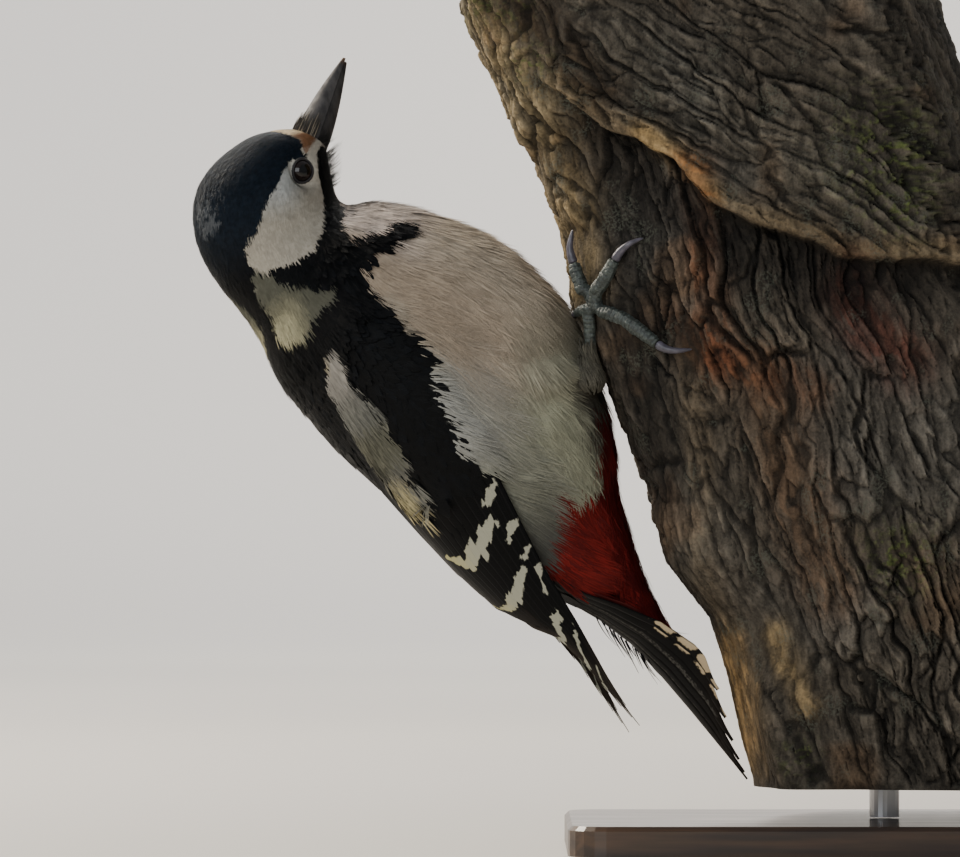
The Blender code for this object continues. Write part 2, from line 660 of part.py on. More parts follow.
def main():
    """Build the bird, its perch and the stand."""
    clear_scene()
    black = finish_material("black_plumage", (0.006, 0.007, 0.010), 0.45)
    buff = finish_material("belly_plumage", (0.36, 0.32, 0.25), 0.8)
    horn = finish_material("bill_horn", (0.045, 0.043, 0.045), 0.35)
    iris = finish_material("eye", (0.02, 0.006, 0.005), 0.08)
    scaly = finish_material("leg_skin", (0.12, 0.13, 0.12), 0.6)
    claw = finish_material("claw_horn", (0.11, 0.10, 0.13), 0.35)
    bark = finish_material("bark", (0.09, 0.06, 0.04), 0.9)
    wood = finish_material("stand_wood", (0.05, 0.028, 0.016), 0.4)
    steel = finish_material("stand_steel", (0.6, 0.6, 0.6), 0.3, 1.0)

    head = body_piece("head", 0.0, HEAD_END, black)
    body_piece("neck", HEAD_END, NECK_END, black)
    torso = body_piece("torso", NECK_END, len(BODY) - 1.0, buff, undertail_rings())
    build_eyes(head, iris)
    build_bill(horn)
    build_wing("wing_right", -1.0, black)
    build_wing("wing_left", 1.0, black)
    build_tail(black)
    trunk = build_trunk(bark)
    tree = bark_tree(trunk)
    build_leg("right", -1.0, tree, torso, buff, scaly, claw)
    build_leg("left", 1.0, tree, torso, buff, scaly, claw)
    build_base(wood)
    build_rods(trunk, steel)


if __name__ == "__main__":
    main()
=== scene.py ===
"""Looks of a life-size great spotted woodpecker model clinging to a cut length of trunk.

The bird has one skin under a coat of feathers.  Places on its body are given as a station,
0 at the bill's base to 20 at the tail's root, and the degrees round from the middle of the
back, 180 being the middle of the belly.  Lengths are metres unless a comment says mm.
"""

import json
import logging
import math
import random
from dataclasses import dataclass
from enum import Enum
from typing import Callable, Iterable, Sequence

import bmesh
import bpy
import numpy as np
from mathutils import Matrix, Vector
from mathutils.bvhtree import BVHTree
from mathutils.kdtree import KDTree

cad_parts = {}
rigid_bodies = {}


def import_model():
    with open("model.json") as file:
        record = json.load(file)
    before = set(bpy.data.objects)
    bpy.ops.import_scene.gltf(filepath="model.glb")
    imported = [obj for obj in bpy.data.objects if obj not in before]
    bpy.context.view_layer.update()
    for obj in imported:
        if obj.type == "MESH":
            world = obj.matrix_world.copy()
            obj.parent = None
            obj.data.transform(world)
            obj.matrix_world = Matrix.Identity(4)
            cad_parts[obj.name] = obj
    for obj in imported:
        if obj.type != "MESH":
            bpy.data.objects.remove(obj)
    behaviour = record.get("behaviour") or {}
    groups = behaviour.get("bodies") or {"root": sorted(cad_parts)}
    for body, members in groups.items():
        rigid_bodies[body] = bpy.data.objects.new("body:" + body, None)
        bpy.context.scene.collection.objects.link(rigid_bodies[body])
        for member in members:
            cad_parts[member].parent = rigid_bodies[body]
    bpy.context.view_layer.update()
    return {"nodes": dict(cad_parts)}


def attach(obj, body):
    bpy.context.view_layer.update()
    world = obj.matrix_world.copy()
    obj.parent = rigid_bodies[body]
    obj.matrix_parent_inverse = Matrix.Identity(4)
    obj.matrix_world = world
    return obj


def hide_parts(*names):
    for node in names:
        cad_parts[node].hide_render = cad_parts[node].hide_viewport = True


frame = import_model()
LOG = logging.getLogger("woodpecker")

MM = 0.001
Array = np.ndarray
BMesh = bmesh.types.BMesh
Item, Mesh, Material, Socket = bpy.types.Object, bpy.types.Mesh, bpy.types.Material, bpy.types.NodeSocket
Outline = Sequence[tuple[float, float]]


# ---------------------------------------------------------------- numbers


def smooth(value: Array | float, low: float, high: float) -> Array | float:
    """Rise smoothly from 0 at low to 1 at high."""
    t = np.clip((value - low) / (high - low), 0, 1)
    return t * t * (3 - 2 * t)


def fall(value: Array | float, low: float, high: float) -> Array | float:
    """Fall smoothly from 1 at low to 0 at high."""
    return 1 - smooth(value, low, high)


def unit(rows: Array) -> Array:
    """Return rows scaled to length 1."""
    return rows / np.maximum(np.linalg.norm(rows, axis=-1, keepdims=True), 1e-12)


def read_table(rows: Sequence[Sequence[float]], at: Array | float, column: int = 1) -> Array:
    """Read one column of a table at any value of its first column.

    Args:
        rows: The table, sorted upwards or downwards by its first column.
        at: Where to read it.
        column: The column to read.

    Returns:
        The values, on straight lines between the rows.
    """
    ordered = sorted(rows)
    return np.interp(at, [row[0] for row in ordered], [row[column] for row in ordered])


def cell_number(cell: Array, seed: int) -> Array:
    """Return a whole number for each cell of a lattice."""
    return cell @ np.array([73856093, 19349663, 83492791]) + seed * 668265263


def stir(number: Array) -> Array:
    """Scramble whole numbers."""
    number = (number ^ (number >> 13)) * 1274126177
    return number ^ (number >> 16)


def lattice_noise(points: Array, seed: int = 0) -> Array:
    """Return smooth noise from -1 to 1 for each row of three coordinates, its pattern picked by the seed.

    Args:
        points: Rows of three coordinates.
        seed: Picks the pattern.

    Returns:
        The noise at each.
    """
    cell = np.floor(points).astype(np.int64)
    part = points - cell
    fade = part * part * (3 - 2 * part)
    total = np.zeros(len(points))
    for corner in range(8):
        step = np.array([(corner >> axis) & 1 for axis in range(3)])
        weight = np.prod(np.where(step, fade, 1 - fade), axis=1)
        total += weight * ((stir(cell_number(cell + step, seed)) & 0xFFFFFF) / 0x7FFFFF - 1)
    return total


def fractal(points: Array, octaves: int, seed: int = 0) -> Array:
    """Add octaves of noise, each twice as fine and half as strong, to roughly -1 to 1."""
    total = sum(lattice_noise(points * 2 ** k, seed + k) * 0.5 ** k for k in range(octaves))
    return total / (2 - 0.5 ** (octaves - 1))


def plates(points: Array, seed: int) -> tuple[Array, Array, Array]:
    """Split space into irregular plates, one round each centre of a jittered lattice.

    Args:
        points: Rows of three coordinates, plates being about one unit across.
        seed: Picks the pattern.

    Returns:
        How far each point is from the crack between two plates, its plate's own number from
        0 to 1, and its offset from the plate's centre.
    """
    base = np.floor(points).astype(np.int64)
    first, second = np.full(len(points), 9.0), np.full(len(points), 9.0)
    value, offset = np.zeros(len(points)), np.zeros((len(points), 3))
    for number in range(27):
        cell = base + np.array([number // 9 - 1, number // 3 % 3 - 1, number % 3 - 1])
        mixed, chances = cell_number(cell, seed), []
        for _ in range(4):
            mixed = stir(mixed)
            chances.append((mixed & 0xFFFFFF) / 0xFFFFFF)
        delta = points - (cell + 0.5 + 0.85 * (np.column_stack(chances[:3]) - 0.5))
        distance = np.linalg.norm(delta, axis=1)
        closer = distance < first
        second = np.where(closer, first, np.minimum(second, distance))
        first = np.where(closer, distance, first)
        value = np.where(closer, chances[3], value)
        offset = np.where(closer[:, None], delta, offset)
    return second - first, value, offset


def from_line(x: Array, y: Array, line: Outline) -> tuple[Array, Array]:
    """Return each point's distance from a line of corners and how far it is above it.

    Args:
        x: First coordinates.
        y: Second coordinates.
        line: The line's corners.

    Returns:
        The distances and the heights above the line's nearest places.
    """
    away, above = np.full(len(x), 1e9), np.zeros(len(x))
    for (ax, ay), (bx, by) in zip(line, line[1:]):
        ex, ey = bx - ax, by - ay
        t = np.clip(((x - ax) * ex + (y - ay) * ey) / (ex * ex + ey * ey + 1e-12), 0, 1)
        dy = y - ay - t * ey
        distance = np.hypot(x - ax - t * ex, dy)
        above = np.where(distance < away, dy, above)
        away = np.minimum(away, distance)
    return away, above


def inside_by(x: Array, y: Array, outline: Outline) -> Array:
    """Return how far each point is inside a closed outline, negative outside it."""
    closed = list(outline) + [outline[0]]
    inside = np.zeros(len(x), bool)
    for (ax, ay), (bx, by) in zip(closed, closed[1:]):
        rise = by - ay if abs(by - ay) > 1e-9 else 1e-9
        inside ^= ((ay > y) != (by > y)) & (x < ax + (bx - ax) / rise * (y - ay))
    return from_line(x, y, closed)[0] * np.where(inside, 1, -1)


# ---------------------------------------------------------------- meshes


def show(name: str, mesh: Mesh, *materials: Material) -> Item:
    """Put a smoothly shaded mesh into the scene at the origin."""
    for material in materials:
        mesh.materials.append(material)
    mesh.shade_smooth()
    item = bpy.data.objects.new(name, mesh)
    bpy.context.scene.collection.objects.link(item)
    return item


def make_object(name: str, points: Iterable, faces: Iterable, *materials: Material) -> Item:
    """Make an object from corners and the corner numbers of its faces."""
    mesh = bpy.data.meshes.new(name)
    mesh.from_pydata([tuple(p) for p in points], [], [tuple(f) for f in faces])
    return show(name, mesh, *materials)


def set_attribute(mesh: Mesh, name: str, values: Array) -> None:
    """Store a number, vector or colour for each corner point of a mesh.

    Args:
        mesh: The mesh.
        name: The attribute's name.
        values: One row for each point, of 1, 3 or 4 numbers.
    """
    values = np.asarray(values, np.float32)
    width = 1 if values.ndim == 1 else values.shape[1]
    kind, key = {1: ("FLOAT", "value"), 3: ("FLOAT_VECTOR", "vector"), 4: ("FLOAT_COLOR", "color")}[width]
    store = mesh.attributes.get(name) or mesh.attributes.new(name, kind, "POINT")
    store.data.foreach_set(key, values.ravel())


def set_tone(mesh: Mesh, name: str, tone: Array) -> None:
    """Store rows of red, green and blue as a colour."""
    set_attribute(mesh, name, np.column_stack([tone, np.ones(len(tone))]))


def rows_of(data: bpy.types.bpy_prop_collection, key: str, width: int = 3, kind: type = np.float32) -> Array:
    """Read a property of all of a mesh's points, edges or corners as rows."""
    flat = np.empty(len(data) * width, kind)
    data.foreach_get(key, flat)
    return flat.reshape(-1, width)


def points_of(mesh: Mesh) -> Array:
    """Return a mesh's points as rows."""
    return rows_of(mesh.vertices, "co").astype(float)


def normals_of(mesh: Mesh) -> Array:
    """Return a mesh's point normals as rows."""
    return rows_of(mesh.vertex_normals, "vector").astype(float)


def set_points(mesh: Mesh, points: Array) -> None:
    """Move a mesh's points."""
    mesh.vertices.foreach_set("co", points.astype(np.float32).ravel())
    mesh.update()


def set_uv(mesh: Mesh, name: str, point_uv: Array) -> None:
    """Give a mesh a UV map from one pair of numbers for each point."""
    corners = rows_of(mesh.loops, "vertex_index", 1, np.int32).ravel()
    mesh.uv_layers.new(name=name).uv.foreach_set("vector", np.asarray(point_uv, np.float32)[corners].ravel())


def edge_ends(mesh: Mesh) -> tuple[Array, Array]:
    """Return the two ends of each of a mesh's edges."""
    one, two = rows_of(mesh.edges, "vertices", 2, np.int32).T
    return one, two


def grid_faces(corner: Array, closed: bool = False) -> Array:
    """Return the faces of a grid of corner numbers, whose last column may join the first."""
    if closed:
        corner = np.column_stack([corner, corner[:, :1]])
    return np.stack([corner[:-1, :-1], corner[:-1, 1:], corner[1:, 1:], corner[1:, :-1]], axis=-1).reshape(-1, 4)


def tube_faces(rings: int, count: int) -> list[list[int]]:
    """Return the faces of a closed tube of rings of corners, with its two end faces."""
    corner = np.arange(rings * count).reshape(rings, count)
    return grid_faces(corner, True).tolist() + [corner[0, ::-1].tolist(), corner[-1].tolist()]


def make_tube(name: str, rings: Array, material: Material) -> Item:
    """Make a closed tube from rows of rings of points."""
    item = make_object(name, rings.reshape(-1, 3), tube_faces(*rings.shape[:2]), material)
    face_outward(item.data)
    return item


def shape_of(mesh: Mesh) -> BMesh:
    """Open a mesh for editing."""
    shape = bmesh.new()
    shape.from_mesh(mesh)
    return shape


def close_shape(shape: BMesh, mesh: Mesh | str) -> Mesh:
    """Write an edited shape into a mesh, or into a new one of that name."""
    mesh = bpy.data.meshes.new(mesh) if isinstance(mesh, str) else mesh
    shape.to_mesh(mesh)
    shape.free()
    return mesh


def face_outward(mesh: Mesh) -> None:
    """Turn all faces of a closed mesh outwards."""
    shape = shape_of(mesh)
    bmesh.ops.recalc_face_normals(shape, faces=shape.faces)
    close_shape(shape, mesh)


def copy_of_node(node: str) -> BMesh:
    """Return a merged copy of a CAD node's mesh."""
    shape = shape_of(frame["nodes"][node].data)
    bmesh.ops.remove_doubles(shape, verts=shape.verts, dist=1e-6)
    return shape


def push_out(shape: BMesh, by: float) -> None:
    """Turn a closed shape's faces outwards and push its points out."""
    bmesh.ops.recalc_face_normals(shape, faces=shape.faces)
    shape.normal_update()
    for vertex in shape.verts:
        vertex.co += vertex.normal * by


def join_shape(whole: BMesh, part: BMesh) -> None:
    """Add one shape to another."""
    mesh = close_shape(part, "helper")
    whole.from_mesh(mesh)
    bpy.data.meshes.remove(mesh)


def tree_of(points: Array) -> KDTree:
    """Return a search tree of points."""
    tree = KDTree(len(points))
    for number, point in enumerate(points):
        tree.insert(point, number)
    tree.balance()
    return tree


def apply_modifiers(item: Item) -> None:
    """Turn an object's modifiers into plain mesh."""
    result = bpy.data.meshes.new_from_object(item.evaluated_get(bpy.context.evaluated_depsgraph_get()))
    item.modifiers.clear()
    old, item.data = item.data, result
    bpy.data.meshes.remove(old)


def voxel_object(name: str, shape: BMesh, voxel: float, rounds: int) -> Item:
    """Close overlapping shapes into one even surface.

    Args:
        name: The object's name.
        shape: The shapes, which are used up.
        voxel: Size of the surface's faces.
        rounds: How many times it is smoothed.

    Returns:
        The object.
    """
    item = show(name, close_shape(shape, name))
    remesh = item.modifiers.new("close", "REMESH")
    remesh.mode, remesh.voxel_size = "VOXEL", voxel
    even = item.modifiers.new("even", "SMOOTH")
    even.factor, even.iterations = 0.5, rounds
    apply_modifiers(item)
    return item


def finish_piece(item: Item, slot: str, *nodes: str) -> None:
    """Ride a piece on the model's one body, hide the CAD nodes that it replaces and log its triangle count.

    Args:
        item: The piece.
        slot: The record's material slot; not used.
        *nodes: CAD nodes that it replaces.
    """
    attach(item, "root")
    if nodes:
        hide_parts(*nodes)
    LOG.info("%s: %d triangles", item.name, sum(len(face.vertices) - 2 for face in item.data.polygons))


# ---------------------------------------------------------------- material nodes


class Nodes:
    """A node tree being built by short calls."""

    def __init__(self, tree: bpy.types.NodeTree) -> None:
        """Start on a tree."""
        self.tree = tree

    def fill(self, node: bpy.types.Node, inputs: dict) -> None:
        """Link sockets or set plain values by the input's name or number."""
        for key, value in inputs.items():
            if isinstance(value, Socket):
                self.tree.links.new(value, node.inputs[key])
            else:
                node.inputs[key].default_value = value

    def add(self, kind: str, inputs: dict | None = None, **settings: object) -> bpy.types.Node:
        """Add a node.

        Args:
            kind: The node's type.
            inputs: Sockets or plain values by the input's name or number.
            **settings: Properties of the node.

        Returns:
            The node.
        """
        node = self.tree.nodes.new(kind)
        for name, value in settings.items():
            setattr(node, name, value)
        self.fill(node, inputs or {})
        return node

    def first(self, kind: str, inputs: dict | None = None, **settings: object) -> Socket:
        """Add a node as above and return its first output."""
        return self.add(kind, inputs, **settings).outputs[0]

    def math(self, operation: str, first: Socket | float, second: Socket | float = 0.0) -> Socket:
        """Return the result of a Math node."""
        return self.first("ShaderNodeMath", {0: first, 1: second}, operation=operation)

    def times(self, first: Socket | float, second: Socket | float) -> Socket:
        """Return a product."""
        return self.math("MULTIPLY", first, second)

    def plus(self, first: Socket | float, second: Socket | float) -> Socket:
        """Return a sum."""
        return self.math("ADD", first, second)

    def blend(self, factor: Socket | float, first: Socket | tuple, second: Socket | tuple, mode: str = "MIX") -> Socket:
        """Return the mix of two colours, by the share of the second."""
        return self.add("ShaderNodeMix", {0: factor, 6: first, 7: second}, data_type="RGBA", blend_type=mode).outputs[2]

    def shade(self, colour: Socket, value: Socket) -> Socket:
        """Return a colour multiplied by a number."""
        grey = self.first("ShaderNodeCombineColor", {0: value, 1: value, 2: value})
        return self.blend(1.0, colour, grey, "MULTIPLY")

    def between(self, value: Socket, low: float, high: float, start: float = 0.0, end: float = 1.0) -> Socket:
        """Return a value mapped smoothly from low and high to start and end."""
        wires = {0: value, 1: low, 2: high, 3: start, 4: end}
        return self.first("ShaderNodeMapRange", wires, interpolation_type="SMOOTHSTEP")

    def attribute(self, name: str, output: str = "Fac") -> Socket:
        """Return a mesh attribute in a material."""
        return self.add("ShaderNodeAttribute", attribute_name=name).outputs[output]

    def noise(self, scale: float, detail: float = 3.0, stretch: tuple[float, float, float] | None = None) -> Socket:
        """Return noise from 0 to 1 over the piece's own coordinates.

        Args:
            scale: How fine it is.
            detail: Octaves.
            stretch: Scale of each axis.

        Returns:
            The noise.
        """
        place = self.add("ShaderNodeTexCoord").outputs["Object"]
        if stretch:
            place = self.first("ShaderNodeMapping", {"Vector": place, "Scale": stretch})
        return self.first("ShaderNodeTexNoise", {"Vector": place, "Scale": scale, "Detail": detail})

    def vane(self) -> tuple[Socket, Socket]:
        """Return the places across and along a feather."""
        split = self.add("ShaderNodeSeparateXYZ", {0: self.first("ShaderNodeUVMap", uv_map="vane")})
        return split.outputs[0], split.outputs[1]

    def bump(self, height: Socket, strength: float, depth: float, **more: Socket) -> Socket:
        """Return the normal bent by a height."""
        wires = {"Height": height, "Strength": strength, "Distance": depth, **more}
        return self.first("ShaderNodeBump", wires)


def new_material(name: str) -> tuple[Material, Nodes]:
    """Return a new material and its node builder."""
    material = bpy.data.materials.new(name)
    material.use_nodes = True
    return material, Nodes(material.node_tree)


def dress(material: Material, **inputs: Socket | float) -> Material:
    """Wire up a material's shader and return the material, spaces in socket names being underscores."""
    shader = material.node_tree.nodes["Principled BSDF"]
    Nodes(material.node_tree).fill(shader, {key.replace("_", " "): value for key, value in inputs.items()})
    return material


# ---------------------------------------------------------------- the bird's own frame


@dataclass(frozen=True)
class BirdFrame:
    """The bird's axes, the turn of its head and the loft of its body."""

    lean: float = math.radians(40.5)
    origin: tuple[float, float, float] = (-0.1104, -0.014, 0.126)
    head_yaw: float = math.radians(20)
    head_roll: float = math.radians(22)
    head_pitch: float = math.radians(62.5)
    pivot: tuple[float, float] = (62, 6)
    # back (s, h), belly (s, h), half width and share of the head's turn, in mm
    stations: tuple = (
        (73.7, -16, 65.9, -20.5, 4.3, 1), (75.7, -14.5, 64.8, -19.5, 5.2, 1), (77.7, -11.2, 62.9, -18.3, 7.2, 1),
        (80.5, -4.2, 59.3, -15.9, 9.6, 1), (81.2, 3.9, 55.4, -14, 11.4, 1), (80.2, 12.7, 51.9, -12.6, 13, 1),
        (76.2, 20.7, 50.9, -12.7, 14, 0.95), (68.3, 25.9, 50.2, -12.9, 14.6, 0.8),
        (60, 27.8, 49.6, -13.3, 15.6, 0.6), (52, 28.4, 48.6, -14.7, 17.2, 0.4),
        (44.8, 28.6, 46.4, -17.3, 19.8, 0.2), (36.9, 29.8, 42, -21.8, 22.4, 0.05),
        (27.5, 32.2, 34.2, -26.8, 24.6, 0), (18.4, 33.2, 21.3, -33.7, 25.8, 0), (7.4, 33.2, 9, -37.4, 26.4, 0),
        (-6, 32, -5, -38.4, 26.2, 0), (-19, 29.8, -18, -35.8, 24.8, 0), (-32, 26.4, -31, -31.2, 22.4, 0),
        (-44, 22.8, -43, -25.6, 19.4, 0), (-56, 18.2, -54.5, -17.8, 15.8, 0), (-69.6, 12.2, -69.6, -10.8, 12.4, 0),
    )
    steps: int = 200
    sides: int = 96

    def axes(self) -> tuple[Vector, Vector, Vector]:
        """Return the bird's forward, left and back directions."""
        forward = Vector((-math.sin(self.lean), 0, math.cos(self.lean)))
        left = Vector((0, 1, 0))
        return forward, left, forward.cross(left)

    def place(self, s: float, y: float, h: float) -> Vector:
        """Return the world point of a point in mm in the bird's frame."""
        forward, left, back = self.axes()
        return Vector(self.origin) + (forward * s + left * y + back * h) * MM

    def to_bird(self, points: Array) -> Array:
        """Return world points as s, y and h in mm."""
        axes = np.array([tuple(axis) for axis in self.axes()])
        return (points - np.array(self.origin)) @ axes.T / MM

    def head_turn(self, share: float) -> Matrix:
        """Return a share of the head's turn."""
        forward, left, back = self.axes()
        bill = forward * math.cos(self.head_pitch) - back * math.sin(self.head_pitch)
        crown = left.cross(bill) * -1
        yaw = Matrix.Rotation(self.head_yaw * share, 3, crown)
        return Matrix.Rotation(self.head_roll * share, 3, yaw @ bill) @ yaw

    def ring(self, station: float) -> Array:
        """Return the points of the body's outline at a station, from the back round by its right.

        Args:
            station: The station.

        Returns:
            The points as rows.
        """
        columns = [[row[c] for row in self.stations] for c in range(6)]
        back_s, back_h, belly_s, belly_h, width, share = (
            float(np.interp(station, range(len(self.stations)), column)) for column in columns
        )
        top, bottom = self.place(back_s, 0, back_h), self.place(belly_s, 0, belly_h)
        side = self.axes()[1]
        up = (top - bottom).normalized()
        turn = self.head_turn(share)
        pivot = self.place(self.pivot[0], 0, self.pivot[1])
        centre = pivot + turn @ ((top + bottom) / 2 - pivot)
        half = (top - bottom).length / 2
        angles = np.arange(self.sides) * 2 * math.pi / self.sides
        rise = np.outer(np.cos(angles) * half, np.array(turn @ up))
        across = np.outer(-np.sin(angles) * width * MM, np.array(turn @ side))
        return np.array(centre) + rise + across

    def head_axes(self) -> tuple[Vector, Vector, Vector, Vector]:
        """Return the bill's base and the head's forward, up and right directions."""
        base = Vector(self.ring(0).mean(axis=0))
        forward, left, back = self.axes()
        turn = self.head_turn(1)
        bill = turn @ (forward * math.cos(self.head_pitch) - back * math.sin(self.head_pitch))
        right = turn @ (left * -1)
        return base, bill, right.cross(bill), right

    def head_rows(self) -> tuple[Array, ...]:
        """Return the same as arrays."""
        return tuple(np.array(axis) for axis in self.head_axes())


class BodyMap:
    """Finds the station and the degrees from the back of any point near the body."""

    def __init__(self, bird: BirdFrame) -> None:
        """Lay the grid of the loft.

        Args:
            bird: The bird's frame.
        """
        last = len(bird.stations) - 1
        self.station_step = last / bird.steps
        self.angle_step = 360 / bird.sides
        self.sides = bird.sides
        self.steps = bird.steps
        self.grid = np.array([bird.ring(i * self.station_step) for i in range(bird.steps + 1)])
        self.along = np.gradient(self.grid, self.station_step, axis=0)
        wrapped = np.concatenate([self.grid[:, -1:], self.grid, self.grid[:, :1]], axis=1)
        self.around = (wrapped[:, 2:] - wrapped[:, :-2]) / (2 * self.angle_step)
        self.tree = tree_of(self.grid.reshape(-1, 3))

    def locate(self, points: Array) -> tuple[Array, Array, Array]:
        """Find points on the body.

        Args:
            points: World points.

        Returns:
            Their stations, their degrees from the back (right side positive) and the
            direction towards the tail at each.
        """
        found = np.array([self.tree.find(point)[1] for point in points])
        row, column = found // self.sides, found % self.sides
        offset = points - self.grid[row, column]
        along, around = self.along[row, column], self.around[row, column]
        aa, bb, ab = (along * along).sum(1), (around * around).sum(1), (along * around).sum(1)
        pa, pb = (offset * along).sum(1), (offset * around).sum(1)
        span = np.maximum(aa * bb - ab * ab, 1e-18)
        station = row * self.station_step + np.clip((pa * bb - pb * ab) / span, -1, 1)
        degrees = column * self.angle_step + np.clip((pb * aa - pa * ab) / span, -9, 9)
        degrees = (degrees + 180) % 360 - 180
        return station, degrees, unit(along)


# ---------------------------------------------------------------- markings


@dataclass(frozen=True)
class Markings:
    """The plumage's pattern, as outlines of (station, degrees from the back)."""

    station_mm: float = 8
    degree_mm: float = 0.34
    # the nape's skin is twisted this many degrees to the bird's right by the turned head
    twist: tuple = ((7, 0), (8, 6), (9.2, 24), (10.3, 30), (11, 28), (12, 14), (13.5, 0))
    cheek: tuple = (
        (3.4, 82), (4.7, 79), (5.5, 79), (6.2, 75), (6.6, 71), (7.1, 68), (7.5, 58), (7.8, 47), (8.7, 31),
        (9.1, 34), (9.2, 46), (9.5, 54), (9.7, 65), (9.9, 76), (9.8, 87), (9.5, 101), (8.7, 112), (7.1, 122),
        (5.4, 122), (4.5, 119), (3.9, 116), (3.2, 112), (2.4, 104), (2, 90), (2.6, 84),
    )
    forehead_end: tuple = ((0, 2.35), (45, 2.45), (72, 2.45), (84, 2.9), (95, 3.3), (104, 2.9), (115, 1.6), (180, 0))
    neck: tuple = (
        (8.9, 30), (9.2, 18), (10, 9), (10.9, 9), (11.5, 15), (11.8, 26), (12, 36), (11.9, 48), (11.8, 58),
        (11.9, 70), (11.95, 80), (11.7, 85), (11.45, 76), (11.2, 64), (10.6, 50), (10, 40), (9.4, 36),
    )
    underparts: tuple = (
        (0, 150), (2, 152), (4, 153), (6, 150), (8, 143), (9.3, 133), (9.9, 121), (10.8, 115), (11.3, 112),
        (11.8, 104), (12.1, 98), (12.4, 93), (13.9, 91), (14.4, 86), (15.2, 80), (16, 75), (16.7, 71), (17.4, 64),
        (18.9, 52), (21, 46),
    )
    spur: tuple = (
        (10.6, 108), (11.15, 121), (11.35, 128), (11.6, 133), (11.5, 142), (11.9, 146), (12.25, 141), (12.15, 131),
        (11.95, 122), (11.85, 112), (11.9, 98),
    )
    scapular: tuple = (
        (12.7, 57), (13, 60), (13.4, 58), (13.9, 58), (14.5, 58), (14.75, 52), (15.1, 53), (15.55, 49), (15.7, 44),
        (16.4, 43), (17.2, 38), (17.9, 30), (17.8, 20), (16.8, 17), (15.9, 25), (15.4, 30), (14.8, 35), (14.4, 38),
        (13.9, 42), (13.5, 45), (13.1, 49), (12.8, 53),
    )
    # the nape's grey flecks, painted sheen on the black
    nape: tuple = ((6, 2), (6.2, 20), (6.4, 30), (6.8, 36), (7.1, 28), (7.2, 12), (6.9, 2))
    vent: tuple = (
        (45, 19.4), (56, 19.2), (75, 18.8), (90, 18.5), (98, 18.3), (112, 18.6), (131, 18.7), (139, 18.1),
        (154, 17.5), (172, 17.2), (180, 17.2),
    )

    def read(self, station: Array, degrees: Array, wobble: Array) -> dict[str, Array]:
        """Work out the pattern at places on the body.

        Args:
            station: Stations.
            degrees: Degrees from the back, right side positive.
            wobble: Noise that makes edges uneven, -1 to 1.

        Returns:
            dark and ruddy, in mm inside the black and the red, and the pale colour.
        """
        raw = np.abs(degrees)
        turned = degrees - read_table(self.twist, station) * np.clip((110 - raw) / 60, 0, 1)
        away = np.abs(turned)
        x, y = station * self.station_mm, away * self.degree_mm

        def within(outline: Outline) -> Array:
            """Return mm inside one outline."""
            return inside_by(x, y, [(a * self.station_mm, b * self.degree_mm) for a, b in outline])

        place = np.column_stack([x, y * np.sign(degrees + 1e-9), x + y])
        sparkle = lattice_noise(place * 2.2, 9)
        far = 12 * (degrees < 0) * smooth(station, 8, 9) * fall(station, 12.2, 13)
        cheek = within(self.cheek)
        neck = within(self.neck) + wobble * 1.2 + sparkle * 0.7
        forehead = (read_table(self.forehead_end, away) - station) * self.station_mm
        below = (away + far - read_table(self.underparts, station)) * self.degree_mm + wobble * 0.35 + sparkle * 0.15
        spur = within(self.spur) + wobble * 0.8 + sparkle * 0.3 - 0.6 * far
        scapular = within(self.scapular) + wobble * 0.5
        # grey flecks on the black nape paint its sheen
        nape = np.minimum(within(self.nape), 0.8) * 0.5 + wobble * 0.7 + lattice_noise(place * 4.5, 19) * 1.5 - 0.36
        pale = np.maximum.reduce([cheek + wobble * 0.15, neck, forehead, scapular, nape, np.minimum(below, -spur)])
        ruddy = (station - read_table(self.vent, away)) * self.station_mm + wobble * 1.6
        ruddy = np.where(below > 0, ruddy, -5)
        return {"dark": -pale, "ruddy": ruddy, "pale": self.pale_colour(station, away, forehead, cheek, neck, scapular)}

    def pale_colour(self, station: Array, away: Array, forehead: Array, cheek: Array,
                    neck: Array, scapular: Array) -> Array:
        """Return the colour of the pale parts, with painted light and painted shade laid into some of them.

        Args:
            station: Stations.
            away: Degrees from the back.
            forehead: Mm inside the forehead band.
            cheek: Mm inside the cheek.
            neck: Mm inside the neck's patch.
            scapular: Mm inside the patch over the wing.

        Returns:
            Rows of red, green, blue and 1.
        """
        colour = np.tile([0.50, 0.46, 0.37], (len(station), 1))

        def lay(tone: tuple[float, float, float], share: Array) -> None:
            """Lay one tone over the others."""
            nonlocal colour
            share = np.clip(share, 0, 1)[:, None]
            colour = colour * (1 - share) + np.array(tone) * share

